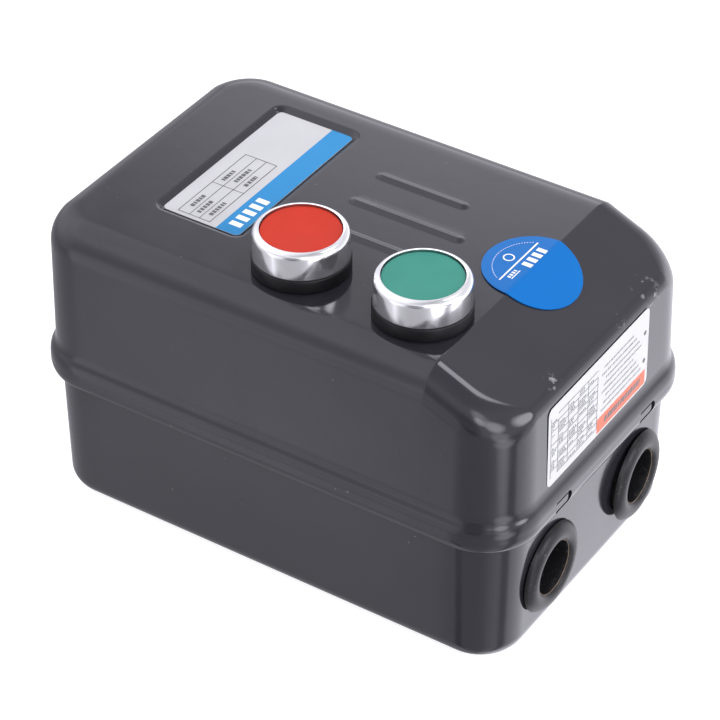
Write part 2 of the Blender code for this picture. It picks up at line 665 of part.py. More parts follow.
def contactor_head():
    """The upper housing: a tower with the carrier's slot, and a step with four wells at each end."""
    y = CONTACTOR_Y
    width = local(-CONTACTOR_HALF_W, CONTACTOR_HALF_W)
    low = HOUSING_SPLIT_Z + GAP
    step, end, tower = 0.0690, HEAD_HALF_L, TOWER_HALF_L
    outline = [(y - end, low), (y + end, low), (y + end, step), (y + tower, step + 0.0020),
               (y + tower, CONTACTOR_TOP_Z), (y - tower, CONTACTOR_TOP_Z), (y - tower, step + 0.0020),
               (y - end, step)]
    obj = make("contactor_head", add_prism(bmesh.new(), outline, *width, "X"), CHARCOAL)
    cut(obj, box(local(-0.0078, 0.0078), (y - 0.0042, y + 0.0042), (0.0400, 0.0900)), "carrier_slot")
    cut(obj, box(local(-0.0140, 0.0140), (y - 0.0120, y + 0.0120), (0.0400, 0.0545)), "foot_room")
    wells = bmesh.new()
    for side in (-1, 1):
        for k in range(4):
            dx = (k - 1.5) * TERMINAL_PITCH
            add_box(wells, local(dx - 0.0042, dx + 0.0042),
                    tuple(sorted((y + side * 0.0192, y + side * 0.0330))), (0.0570, 0.0760))
    cut(obj, wells, "terminal_wells")


def magnet():
    """E-shaped laminated cores, the coil round the middle limb, and the carrier with its spring."""
    y = CONTACTOR_Y

    def e_core(name, yoke, limbs, origin):
        width = local(-CORE_HALF_W, CORE_HALF_W)
        obj = make(name, box(width, (y + LIMBS[0][0], y + LIMBS[-1][1]), yoke), CORE, origin)
        limb_mesh = bmesh.new()
        for low, high in LIMBS:
            add_box(limb_mesh, width, (y + low, y + high), limbs)
        join(obj, limb_mesh, name + "_limbs")

    poles = FIXED_POLE_Z + ARMATURE_TRAVEL + GAP
    e_core("fixed_core", (0.0123, 0.0173), (0.0170, FIXED_POLE_Z), (0, 0, 0))
    e_core("moving_core", (poles + 0.0055, poles + 0.0112), (poles, poles + 0.0060), (CONTACTOR_X, y, poles))
    coil = make("magnet_coil", box(local(-0.0140, 0.0140), (y - 0.0106, y + 0.0106), (0.0176, FIXED_POLE_Z)),
                COIL)
    bore = box(local(-CORE_HALF_W - 0.0004, CORE_HALF_W + 0.0004),
               (y + LIMBS[1][0] - 0.0004, y + LIMBS[1][1] + 0.0004), (0.0150, 0.0330))
    cut(coil, bore, "coil_bore")
    coil_spring("armature_spring", (CONTACTOR_X, y), 0.0081, 0.0005, FIXED_POLE_Z + GAP, poles + 0.0052, 4)

    carrier = make("contact_carrier", box(local(-0.0072, 0.0072), (y - 0.0036, y + 0.0036), (0.0450, 0.0850)),
                   CREAM, (CONTACTOR_X, y, 0.0850))
    foot = box(local(-0.0130, 0.0130), (y - 0.0110, y + 0.0110), (0.0450, 0.0465))
    join(carrier, foot, "carrier_foot")


def terminal(name, dx, y, z):
    """A clamp screw in a well, with its square washer as part of the screw."""
    centre = (CONTACTOR_X + dx, y, z)
    obj = screw(name, centre, (0, 0, 1), 0.0035, 0.0024, 0.0019, 0.0016)
    washer = box((centre[0] - 0.0036, centre[0] + 0.0036), (y - 0.0036, y + 0.0036), (z - 0.0010, z + 0.0002))
    join(obj, washer, name + "_washer")


def contactor_terminals():
    for k in range(4):
        dx = (k - 1.5) * TERMINAL_PITCH
        terminal(f"line_screw_{k + 1}", dx, CONTACTOR_Y - POLE_TERMINAL_Y, POLE_TERMINAL_Z)
        terminal(f"load_screw_{k + 1}", dx, CONTACTOR_Y + POLE_TERMINAL_Y, POLE_TERMINAL_Z)
    out, along, z = COIL_TERMINAL
    for side, name in ((-1, "coil_screw_1"), (1, "coil_screw_2")):
        terminal(name, side * out, CONTACTOR_Y - along, z)


# ---------------------------------------------------------------- overload relay
def overload_relay():
    """The relay's case: a tall front for the dial and keys, and a step with three load wells."""
    y0, y1 = RELAY_Y
    width = local(-CONTACTOR_HALF_W, CONTACTOR_HALF_W)
    outline = [(y0, 0.0060), (y1, 0.0060), (y1, 0.0440), (y1 - RELAY_STEP, 0.0460),
               (y1 - RELAY_STEP, RELAY_TOP_Z), (y0, RELAY_TOP_Z)]
    obj = make("overload_case", add_prism(bmesh.new(), outline, *width, "X"), CHARCOAL)
    wells = bmesh.new()
    for k in range(3):
        dx = (k - 1) * RELAY_PITCH
        add_box(wells, local(dx - 0.0048, dx + 0.0048), (y1 - 0.0115, y1 + 0.002), (0.0330, 0.0500))
    cut(obj, wells, "relay_wells")
    sockets = bmesh.new()
    add_rod(sockets, (DIAL_XY[0], DIAL_XY[1], 0), (0, 0, 1), 0.0068, 0.0668, 0.0760, 20)
    for x, y in (RESET_XY, TRIP_XY):
        add_rod(sockets, (x, y, 0), (0, 0, 1), 0.0040, 0.0600, 0.0760, 16)
    cut(obj, sockets, "relay_sockets")

    dial = [(0.0, 0.0728), (0.0058, 0.0728), (0.0064, 0.0720), (0.0064, 0.0671), (0.0, 0.0671)]
    knob = make("current_dial", turned(dial, (*DIAL_XY, 0), sides=20), CREAM, (*DIAL_XY, 0.0671), smooth=True)
    cut(knob, box((DIAL_XY[0] - 0.0050, DIAL_XY[0] + 0.0050), (DIAL_XY[1] - 0.0008, DIAL_XY[1] + 0.0008),
                  (0.0716, 0.0740)), "dial_slot")
    for name, xy, spec in (("reset_key", RESET_XY, BLUE), ("trip_key", TRIP_XY, RED)):
        key = [(0.0, 0.0745), (0.0030, 0.0745), (0.0036, 0.0739), (0.0036, 0.0640), (0.0, 0.0640)]
        make(name, turned(key, (*xy, 0), sides=16), spec, (*xy, 0.0745), smooth=True)

    for k in range(3):
        dx = (k - 1.5) * TERMINAL_PITCH
        bar = box(local(dx - 0.0026, dx + 0.0026), (CONTACTOR_Y + 0.0196, y0 - GAP), (0.0573, 0.0593))
        make(f"overload_prong_{k + 1}", bar, COPPER)
        along, seat = RELAY_TERMINAL
        terminal(f"relay_screw_{k + 1}", (k - 1) * RELAY_PITCH, y1 - along, seat)


# ---------------------------------------------------------------- fixings and leads
# routes of the control leads, from end to end
LEAD_ROUTES = {
    "start_lead": (LEAD_BLUE, [(-0.0195, -0.0560, 0.0690), (-0.0130, -0.0562, 0.0688),
                               (-0.0095, -0.0570, 0.0640), (-0.0085, -0.0590, 0.0540),
                               (-0.0075, -0.0620, 0.0450), (-0.0040, -0.0645, 0.0400),
                               (0.0005, -0.0645, 0.0383), (0.0025, -0.0625, 0.0379),
                               (0.0025, -0.0602, 0.0379)]),
    "stop_lead": (LEAD_RED, [(-0.0195, 0.0170, 0.0690), (-0.0130, 0.0175, 0.0688),
                             (-0.0100, 0.0200, 0.0640), (-0.0095, 0.0260, 0.0540),
                             (-0.0095, 0.0380, 0.0440), (-0.0100, 0.0500, 0.0380),
                             (-0.0095, 0.0570, 0.0355), (-0.0075, 0.0600, 0.0345),
                             (-0.0049, 0.0603, 0.0345)]),
    "bridge_lead": (LEAD_RED, [(-0.0195, -0.0250, 0.0690), (-0.0130, -0.0250, 0.0688),
                               (-0.0105, -0.0230, 0.0675), (-0.0100, -0.0195, 0.0670),
                               (-0.0105, -0.0160, 0.0675), (-0.0130, -0.0140, 0.0688),
                               (-0.0195, -0.0140, 0.0690)]),
    "coil_lead": (LEAD_BLUE, [(0.0335, -0.0602, 0.0379), (0.0335, -0.0630, 0.0379),
                              (0.0365, -0.0655, 0.0372), (0.0410, -0.0640, 0.0355),
                              (0.0440, -0.0580, 0.0330), (0.0445, -0.0400, 0.0300),
                              (0.0445, 0.0000, 0.0290), (0.0445, 0.0400, 0.0310),
                              (0.0442, 0.0550, 0.0335), (0.0425, 0.0595, 0.0345),
                              (0.0409, 0.0603, 0.0345)]),
}


def smooth_route(corners, spacing=0.0040):
    """Evenly spaced points on a smooth curve through the corners."""
    points = [Vector(c) for c in corners]
    curve = []
    for i in range(len(points) - 1):
        before = points[max(i - 1, 0)]
        after = points[min(i + 2, len(points) - 1)]
        a, b = points[i], points[i + 1]
        steps = max(2, round((b - a).length / spacing))
        for k in range(steps):
            t = k / steps
            curve.append(0.5 * (2 * a + (b - before) * t + (2 * before - 5 * a + 4 * b - after) * t ** 2
                                + (3 * a - before - 3 * b + after) * t ** 3))
    return curve + [points[-1]]


def leads():
    for name, (spec, corners) in LEAD_ROUTES.items():
        make(name, swept(smooth_route(corners), LEAD_R, 6), spec, smooth=True)


def fixings():
    for i, x in enumerate(RAIL_SCREW_X):
        screw(f"rail_screw_{i + 1}", (x, CONTACTOR_Y, SHEET + 2 * GAP + 0.0010), (0, 0, 1),
              0.0026, 0.0020, 0.0015, 0.0024)
    screw("earth_screw", (*EARTH_XY, SHEET + GAP), (0, 0, 1), 0.0042, 0.0026, 0.0021, 0.0014)


def build():
    clear_scene()
    base_tray()
    tilt = math.radians(3)      # one grommet is not pressed fully home
    grommet("grommet_line_left", -CABLE_X, -1)
    grommet("grommet_line_right", CABLE_X, -1, tilt)
    grommet("grommet_load_left", -CABLE_X, 1)
    grommet("grommet_load_right", CABLE_X, 1)
    mounting_rail()
    contactor_base()
    contactor_head()
    magnet()
    contactor_terminals()
    overload_relay()
    fixings()
    cover_shell()
    rating_plate()
    power_sticker()
    end_label()
    cover_fixing()
    for prefix, y, spec in (("stop", STOP_Y, RED), ("start", START_Y, GREEN)):
        button_head(prefix, y, spec)
        contact_block(prefix, y)
    leads()


build()
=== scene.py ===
"""Looks of the enclosed magnetic motor starter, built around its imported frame. In metres."""
import json
import random
from math import cos, hypot, pi, radians, sin, sqrt, tan

import bmesh
import bpy
from mathutils import Matrix, Vector


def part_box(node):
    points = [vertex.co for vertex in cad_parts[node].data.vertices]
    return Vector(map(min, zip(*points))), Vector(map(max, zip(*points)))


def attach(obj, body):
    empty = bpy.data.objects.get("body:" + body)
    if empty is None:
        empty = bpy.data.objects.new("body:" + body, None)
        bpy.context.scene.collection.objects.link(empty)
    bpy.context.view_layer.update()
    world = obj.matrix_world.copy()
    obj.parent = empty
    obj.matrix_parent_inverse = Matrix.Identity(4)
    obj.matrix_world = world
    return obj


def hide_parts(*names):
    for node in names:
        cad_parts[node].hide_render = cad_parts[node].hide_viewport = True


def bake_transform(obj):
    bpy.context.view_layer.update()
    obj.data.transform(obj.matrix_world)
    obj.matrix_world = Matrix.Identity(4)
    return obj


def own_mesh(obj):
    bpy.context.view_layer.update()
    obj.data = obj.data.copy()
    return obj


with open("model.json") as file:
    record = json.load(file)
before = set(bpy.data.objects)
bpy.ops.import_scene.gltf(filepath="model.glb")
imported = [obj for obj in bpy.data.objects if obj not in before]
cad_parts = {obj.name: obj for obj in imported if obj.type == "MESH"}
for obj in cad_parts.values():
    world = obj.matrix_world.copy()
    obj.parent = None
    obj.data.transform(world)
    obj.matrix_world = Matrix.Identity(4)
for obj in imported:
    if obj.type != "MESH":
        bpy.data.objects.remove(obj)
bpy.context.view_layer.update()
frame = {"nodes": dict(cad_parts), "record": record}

# -------------------- driving sizes, as in the frame
SHEET = 0.0012
FRONT_Z = 0.1026
DRAFT = radians(1.0)
COVER = (0.0547, 0.0838, 0.0162)        # half width, half length and corner radius
COVER_EDGE_R = (0.0100, 0.0030, 0.0082)    # sides, chamfered end, other end
CREASE_Y = -0.0558
CREASE_R = 0.0020
CHAMFER_SLOPE = radians(23.5)
RIM_BULGE = 0.00183
BASE = (0.0543, 0.0832, 0.0158)
BASE_EDGE_R = 0.0064
BASE_TOP_Z = 0.0540
WINDOW_Z = (0.0476, 0.0518)
WINDOW_X = ((-0.0290, -0.0200), (0.0213, 0.0303))
CABLE_X = 0.0255
CABLE_Z = 0.0238
CABLE_HOLE_R = 0.0130
BUTTON_X = -0.0293
BUTTONS = {"stop": 0.0020, "start": -0.0400}
PANEL_HOLE_R = 0.0112
PLATE_X = (-0.0265, 0.0368)
PLATE_Y = (0.0268, 0.0548)
POCKET_DEPTH = 0.0012
POCKET_SLOPE = 0.0022
RIB_X = (0.0225, 0.0070, -0.0085)
RIB_Y = ((-0.0234, 0.0089), (-0.0314, 0.0086), (-0.0394, 0.0080))
RIB_HALF_W = 0.0019
RIB_HEIGHT = 0.0006
COVER_SCREW_Z = 0.0508
CONTACTOR = (0.0180, -0.0230)
MOUNT_HOLE = (0.0410, 0.0640, 0.0027)
EARTH_XY = (-0.0230, -0.0660)
RAIL_SCREW_X = (-0.0085, 0.0434)
CHIPS = ((0.0295, -0.0812, 0.0907, 0.0060), (-0.0245, -0.0805, 0.0910, 0.0042),
         (0.0120, -0.0815, 0.0900, 0.0030))     # where the paint is chipped: x, y, z and radius
CORNER_STEPS = 16                       # faces round each upright corner of the shells
MM = 0.001

BODY_OF = {node: body for body, nodes in frame["record"]["behaviour"]["bodies"].items() for node in nodes}
SLOT_OF = {s["node"]: s["material_slot"] for s in frame["record"]["subparts"]}


# -------------------- material nodes
def add(tree, kind, inputs=None, **settings):
    """A shader node. Inputs are values, or sockets to link."""
    node = tree.nodes.new(kind)
    for key, value in settings.items():
        setattr(node, key, value)
    for key, value in (inputs or {}).items():
        if isinstance(value, bpy.types.NodeSocket):
            tree.links.new(value, node.inputs[key])
        else:
            node.inputs[key].default_value = value
    return node


def grain(tree, scale, detail=3.0, stretch=(1, 1, 1)):
    """Noise in the object's own coordinates; the scale is in features per metre."""
    place = add(tree, "ShaderNodeTexCoord").outputs["Object"]
    mapped = add(tree, "ShaderNodeMapping", {"Vector": place, "Scale": stretch}).outputs["Vector"]
    noise = add(tree, "ShaderNodeTexNoise", {"Vector": mapped, "Scale": scale, "Detail": detail})
    return noise.outputs["Fac"]


def spread(tree, value, low, high, out_low=0.0, out_high=1.0):
    """Maps a value's range to another one, clamped."""
    inputs = {"Value": value, "From Min": low, "From Max": high, "To Min": out_low, "To Max": out_high}
    return add(tree, "ShaderNodeMapRange", inputs).outputs["Result"]


def mix(tree, share, first, second):
    """The first colour where the share is 0, and the second where it is 1."""
    inputs = {"Factor": share, 6: first, 7: second}
    return add(tree, "ShaderNodeMix", inputs, data_type="RGBA").outputs[2]


def times(tree, a, b):
    return add(tree, "ShaderNodeMath", {0: a, 1: b}, operation="MULTIPLY").outputs[0]


def vector(tree, operation, a, b):
    return add(tree, "ShaderNodeVectorMath", {0: a, 1: b}, operation=operation)


def shade(colour, factor):
    return tuple(min(1.0, c * factor) for c in colour) + (1.0,)


def grey(brightness):
    return (brightness,) * 3 + (1.0,)


def surface(name, colour, rough, metal=0.0, tone=(0.9, 1.1), tone_scale=60.0, rough_spread=0.05,
            rough_scale=250.0, bump=6e-6, bump_scale=1500.0, stretch=(1, 1, 1), dust=None, **sockets):
    """A material with mottled colour, uneven gloss and a fine relief; dust is (colour, amount, scale)."""
    mat = bpy.data.materials.new(name)
    mat.use_nodes = True
    tree = mat.node_tree
    shader = tree.nodes["Principled BSDF"]
    shader.inputs["Metallic"].default_value = metal
    for key, value in sockets.items():
        shader.inputs[key.replace("_", " ")].default_value = value
    mottle = spread(tree, grain(tree, tone_scale, 4.0), 0.35, 0.65)
    base = mix(tree, mottle, shade(colour, tone[0]), shade(colour, tone[1]))
    gloss = grain(tree, rough_scale, 4.0, stretch)
    rough_map = spread(tree, gloss, 0.3, 0.7, max(0.02, rough - rough_spread), rough + rough_spread)
    if dust:
        dust_colour, amount, scale = dust
        specks = spread(tree, grain(tree, scale, 6.0), 0.68 - 0.25 * amount, 0.80)
        base = mix(tree, specks, base, (*dust_colour, 1.0))
        rough_map = spread(tree, specks, 0.0, 1.0, rough, min(1.0, rough + 0.25))
    tree.links.new(base, shader.inputs["Base Color"])
    tree.links.new(rough_map, shader.inputs["Roughness"])
    height = grain(tree, bump_scale, 3.0, stretch)
    relief = add(tree, "ShaderNodeBump", {"Height": height, "Distance": bump, "Strength": 1.0})
    tree.links.new(relief.outputs["Normal"], shader.inputs["Normal"])
    return mat


def near(tree, point, radius):
    """One at a point, falling to nothing at the radius."""
    place = add(tree, "ShaderNodeTexCoord").outputs["Object"]
    away = vector(tree, "DISTANCE", place, point).outputs["Value"]
    return spread(tree, away, 0.3 * radius, radius, 1.0, 0.0)


def enamel(name):
    """The box's grey stove enamel: orange peel, faint specks, and chips on the chamfer's lower edge."""
    mat = surface(name, (0.019, 0.0182, 0.0230), 0.105, tone=(0.94, 1.06), tone_scale=35.0, rough_spread=0.03,
                  rough_scale=90.0, bump=1.4e-5, bump_scale=240.0, Specular_IOR_Level=0.5)
    tree = mat.node_tree
    shader = tree.nodes["Principled BSDF"]
    painted = shader.inputs["Base Color"].links[0].from_socket
    scuffed = spread(tree, grain(tree, 900.0, 2.0), 0.785, 0.80)
    for x, y, z, radius in CHIPS:
        flakes = spread(tree, grain(tree, 420.0, 5.0), 0.56, 0.66)
        chip = times(tree, near(tree, (x, y, z), radius), flakes)
        scuffed = add(tree, "ShaderNodeMath", {0: scuffed, 1: chip}, operation="MAXIMUM").outputs[0]
    worn = mix(tree, times(tree, scuffed, 0.55), painted, (0.42, 0.42, 0.43, 1.0))
    tree.links.new(worn, shader.inputs["Base Color"])
    return mat


MATERIALS = {
    "dark_grey_paint": enamel("dark_grey_enamel"),
    "chrome_plate": surface("chrome", (0.88, 0.88, 0.89), 0.15, 0.94, (0.93, 1.0), 80.0, 0.06, 420.0, 6e-6,
        500.0, (1, 1, 0.06)),
    "black_rubber": surface("rubber", (0.006, 0.006, 0.0065), 0.38, 0.0, (0.8, 1.25), 120.0, 0.10, 300.0,
        3e-5, 900.0, dust=((0.10, 0.095, 0.09), 0.25, 1300.0), Specular_IOR_Level=0.30),
    "collar_rubber": surface("collar_rubber", (0.005, 0.005, 0.006), 0.42, 0.0, (0.85, 1.2), 150.0, 0.08,
        400.0, 1e-5, 1400.0, Specular_IOR_Level=0.3),
    "black_plastic": surface("black_moulding", (0.020, 0.020, 0.022), 0.45, bump=1.2e-5),
    "charcoal_plastic": surface("charcoal_moulding", (0.040, 0.042, 0.046), 0.48, bump=1.6e-5,
        bump_scale=2200.0, dust=((0.16, 0.15, 0.14), 0.08, 900.0)),
    "cream_plastic": surface("cream_moulding", (0.66, 0.63, 0.54), 0.42, tone=(0.93, 1.05)),
    "red_plastic": surface("red_moulding", (0.480, 0.026, 0.009), 0.40, 0.0, (0.96, 1.04), 90.0, 0.05,
        500.0, 9e-6, 1900.0, Specular_IOR_Level=0.12),
    "green_plastic": surface("green_moulding", (0.031, 0.226, 0.168), 0.40, 0.0, (0.96, 1.04), 90.0, 0.05,
        500.0, 9e-6, 1900.0, Specular_IOR_Level=0.2),
    "blue_plastic": surface("blue_moulding", (0.03, 0.15, 0.60), 0.38),
    "label_film": surface("white_film", (0.470, 0.472, 0.470), 0.33, 0.0, (0.97, 1.02), 70.0, 0.05, 700.0,
        4e-6, 1200.0),
    "blue_film": surface("blue_film", (0.0, 0.124, 0.400), 0.20, 0.0, (0.97, 1.04), 40.0, 0.04, 120.0,
        1.2e-5, 160.0, Specular_IOR_Level=0.18),
    "zinc_steel": surface("zinc_plate", (0.60, 0.60, 0.57), 0.30, 1.0, (0.82, 1.1), 160.0, 0.09, 500.0,
        9e-6, 900.0),
    "spring_steel": surface("spring_wire", (0.52, 0.52, 0.53), 0.24, 1.0, (0.85, 1.1), 500.0, 0.06, 900.0),
    "core_steel": surface("laminations", (0.34, 0.34, 0.35), 0.40, 1.0, (0.80, 1.15), 300.0, 0.10, 900.0,
        6e-5, 1000.0, (1.0, 0.02, 0.02)),
    "copper": surface("copper_bar", (0.78, 0.40, 0.24), 0.26, 1.0, (0.82, 1.08), 200.0, 0.08, 700.0),
    "coil_wrap": surface("coil_tape", (0.50, 0.20, 0.05), 0.36, 0.0, (0.80, 1.15), 260.0, 0.08, 500.0, 8e-5,
        600.0, (0.15, 0.15, 3.0)),
    "red_insulation": surface("red_insulation", (0.52, 0.02, 0.018), 0.34, 0.0, (0.9, 1.1), 300.0, 0.06),
    "blue_insulation": surface("blue_insulation", (0.012, 0.05, 0.36), 0.34, 0.0, (0.9, 1.1), 300.0, 0.06),
    "ink_black": surface("black_ink", (0.045, 0.045, 0.05), 0.42, tone=(0.9, 1.3), tone_scale=900.0),
    "ink_grey": surface("grey_ink", (0.085, 0.085, 0.090), 0.42, tone=(0.85, 1.15), tone_scale=900.0),
    "ink_pale": surface("pale_ink", (0.190, 0.190, 0.195), 0.42, tone=(0.8, 1.2), tone_scale=900.0),
    "ink_white": surface("white_ink", (0.84, 0.86, 0.88), 0.40, tone=(0.95, 1.03), tone_scale=900.0),
    "ink_blue": surface("blue_ink", (0.006, 0.212, 0.470), 0.36, tone=(0.98, 1.02), tone_scale=60.0,
        Specular_IOR_Level=0.25),
    "ink_orange": surface("orange_ink", (0.62, 0.085, 0.022), 0.34, tone=(0.96, 1.04), tone_scale=80.0),
    "flash": surface("rubber_flash", (0.20, 0.14, 0.09), 0.55, tone=(0.7, 1.3), tone_scale=700.0),
}


# -------------------- making pieces
def as_object(name, bm):
    """The finished mesh as an object in the scene."""
    mesh = bpy.data.meshes.new(name)
    bm.to_mesh(mesh)
    bm.free()
    obj = bpy.data.objects.new(name, mesh)
    bpy.context.scene.collection.objects.link(obj)
    return obj


def eased(width, segments=2, angle=30):
    """A modifier that rounds every edge sharper than this angle, in degrees."""
    return ("BEVEL", {"width": width, "segments": segments, "limit_method": "ANGLE",
                      "angle_limit": radians(angle)})


def modify(obj, modifiers):
    for kind, settings in modifiers:
        modifier = obj.modifiers.new(kind.lower(), kind)
        for key, value in settings.items():
            setattr(modifier, key, value)


def shade_smooth(mesh, angle):
    """Smooth shading, but for the edges sharper than this angle, in degrees."""
    mesh.shade_smooth()
    mesh.set_sharp_from_angle(angle=radians(angle))


def piece(name, bm, material, body, replaced=(), smooth=35.0, modifiers=()):
    """A finished piece with the given material: it rides on its body, and the CAD nodes it stands for are
    hidden.
    """
    bmesh.ops.recalc_face_normals(bm, faces=bm.faces)
    obj = as_object(name, bm)
    obj.data.materials.append(MATERIALS[material])
    shade_smooth(obj.data, smooth)
    modify(obj, modifiers)
    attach(obj, body)
    if replaced:
        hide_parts(*replaced)
    return obj


def settle(obj, smooth=35.0):
    """Applies the modifiers, so that the piece keeps one plain mesh."""
    graph = bpy.context.evaluated_depsgraph_get()
    mesh = bpy.data.meshes.new_from_object(obj.evaluated_get(graph))
    obj.modifiers.clear()
    obj.data = mesh
    shade_smooth(mesh, smooth)


def carve(obj, *cutters, smooth=35.0):
    """Cuts each closed helper mesh out of the piece, one after the other, and keeps the result."""
    helpers = []
    for bm in cutters:
        bmesh.ops.recalc_face_normals(bm, faces=bm.faces)
        helpers.append(as_object("cutter", bm))
        modify(obj, [("BOOLEAN", {"object": helpers[-1], "solver": "MANIFOLD"})])
    settle(obj, smooth)
    for helper in helpers:
        bpy.data.objects.remove(helper)


def arc(cx, cy, radius, first, last, steps):
    """Points on an arc between two angles, in degrees."""
    angles = [radians(first + (last - first) * i / steps) for i in range(steps + 1)]
    return [(cx + radius * cos(a), cy + radius * sin(a)) for a in angles]


def rounded_rectangle(x, y, radius, steps=8):
    return (arc(x[1] - radius, y[0] + radius, radius, -90, 0, steps)
            + arc(x[1] - radius, y[1] - radius, radius, 0, 90, steps)
            + arc(x[0] + radius, y[1] - radius, radius, 90, 180, steps)
            + arc(x[0] + radius, y[0] + radius, radius, 180, 270, steps))


def bar(x, y):
    return [(x[0], y[0]), (x[1], y[0]), (x[1], y[1]), (x[0], y[1])]


def prism(bm, outline, low, high, place=None):
    """Extrudes a flat outline; place turns (a, b, height) into a point."""
    place = place or (lambda a, b, c: (a, b, c))
    ends = [[bm.verts.new(place(a, b, c)) for a, b in outline] for c in (low, high)]
    bm.faces.new(ends[0])
    bm.faces.new(ends[1])
    for i in range(len(outline)):
        j = (i + 1) % len(outline)
        bm.faces.new((ends[0][i], ends[0][j], ends[1][j], ends[1][i]))
    return bm


def rod(centre, axis, radius, start, end, sides=48):
    """A round bar along an axis, from start to end as seen from the centre."""
    bm = bmesh.new()
    turn = Vector(axis).to_track_quat("Z", "Y").to_matrix().to_4x4()
    middle = Vector(centre) + Vector(axis) * ((start + end) / 2)
    bmesh.ops.create_cone(bm, cap_ends=True, segments=sides, radius1=radius, radius2=radius,
                          depth=end - start, matrix=Matrix.Translation(middle) @ turn)
    return bm


def bridge(bm, ring, following):
    """Faces between two rings of points, either of which may be a single point."""
    sides = max(len(ring), len(following))
    for k in range(sides):
        j = (k + 1) % sides
        corners = [ring[k % len(ring)], ring[j % len(ring)], following[j % len(following)],
                   following[k % len(following)]]
        unique = list(dict.fromkeys(corners))
        if len(unique) > 2:
            bm.faces.new(unique)


def turned(profile, centre, axis=(0, 0, 1), sides=96):
    """A ring or solid turned from a closed profile of (radius, distance along the axis)."""
    bm = bmesh.new()
    turn = Vector(axis).to_track_quat("Z", "Y").to_matrix()
    rings = []
    for radius, along in profile:
        steps = 1 if radius == 0.0 else sides
        rings.append([bm.verts.new(Vector(centre) + turn @ Vector(
            (radius * cos(2 * pi * k / sides), radius * sin(2 * pi * k / sides), along)))
            for k in range(steps)])
    for ring, following in zip(rings, rings[1:] + rings[:1]):
        bridge(bm, ring, following)
    return bm


def curve_through(points, steps):
    """A smooth curve through the points, in this many steps from one to the next."""
    last = len(points) - 1
    made = []
    for i in range(last):
        p0, p1, p2, p3 = (Vector(points[min(max(i + k, 0), last)]) for k in (-1, 0, 1, 2))
        for s in range(steps):
            t = s / steps
            made.append(0.5 * (2 * p1 + (p2 - p0) * t + (2 * p0 - 5 * p1 + 4 * p2 - p3) * t ** 2
                               + (3 * p1 - p0 - 3 * p2 + p3) * t ** 3))
    return made + [Vector(points[-1])]


def tube(points, radius, sides=12):
    """A round bar that follows the points, with flat ends."""
    bm = bmesh.new()
    rings = []
    side = None
    for i, point in enumerate(points):
        along = (points[min(i + 1, len(points) - 1)] - points[max(i - 1, 0)]).normalized()
        side = along.orthogonal() if side is None else side - along * side.dot(along)
        side.normalize()
        across = along.cross(side)
        rings.append([bm.verts.new(point + radius * (cos(a) * side + sin(a) * across))
                      for a in (2 * pi * k / sides for k in range(sides))])
    for ring, following in zip(rings, rings[1:]):
        bridge(bm, ring, following)
    bm.faces.new(rings[0])
    bm.faces.new(rings[-1])
    return bm


def rounded(node, width, cutters=()):
    """A CAD node's own shape, carved, with its triangles merged and its edges rounded."""
    bm = bmesh.new()
    bm.from_mesh(frame["nodes"][node].data)
    bmesh.ops.remove_doubles(bm, verts=bm.verts, dist=2e-6)
    bmesh.ops.dissolve_limit(bm, angle_limit=radians(1.0), verts=bm.verts, edges=bm.edges)
    obj = piece(node + "_moulding", bm, SLOT_OF[node], BODY_OF[node], (node,), smooth=30.0)
    if cutters:
        carve(obj, *cutters, smooth=30.0)
    modify(obj, [eased(width, 3, 40)])
    settle(obj, 40.0)


# -------------------- drawn shells
def smoothstep(t):
    t = min(1.0, max(0.0, t))
    return t * t * (3 - 2 * t)


def chamfer_drop(y):
    """How far the cover's front lies below its flat part, at this place along the length."""
    tangent = CREASE_R * tan(CHAMFER_SLOPE / 2)
    along = CREASE_Y + tangent - y
    if along <= 0.0:
        return 0.0
    if along < CREASE_R * sin(CHAMFER_SLOPE):
        return CREASE_R - sqrt(CREASE_R ** 2 - along ** 2)
    return (CREASE_Y - y) * tan(CHAMFER_SLOPE)


def outside(x, y, span_x, span_y, radius):
    """Distance of a point from a rounded rectangle, negative inside."""
    dx = abs(x - sum(span_x) / 2) - (span_x[1] - span_x[0]) / 2 + radius
    dy = abs(y - sum(span_y) / 2) - (span_y[1] - span_y[0]) / 2 + radius
    return hypot(max(dx, 0.0), max(dy, 0.0)) + min(max(dx, dy), 0.0) - radius


def pressed(x, y):
    """Relief of the cover's front: the pocket for the plate, and three raised ribs."""
    away = outside(x, y, PLATE_X, PLATE_Y, 0.0018)
    relief = -POCKET_DEPTH * (1 - smoothstep(away / POCKET_SLOPE))
    for rib_x, (y0, y1) in zip(RIB_X, RIB_Y):
        nearest = min(max(y, y0 + RIB_HALF_W), y1 - RIB_HALF_W)
        away = hypot(x - rib_x, y - nearest)
        relief += RIB_HEIGHT * smoothstep(1 - away / (RIB_HALF_W + 0.0002))
    return relief


def stops(low, high, coarse, fine_spans):
    """Rising values from low to high, coarse steps with finer ones inside the given spans."""
    values = []
    value = low + coarse / 2
    while value < high - coarse / 3:
        fine = [step for start, end, step in fine_spans if start - coarse <= value <= end]
        values.append(value)
        value += min(fine) if fine else coarse
    return values


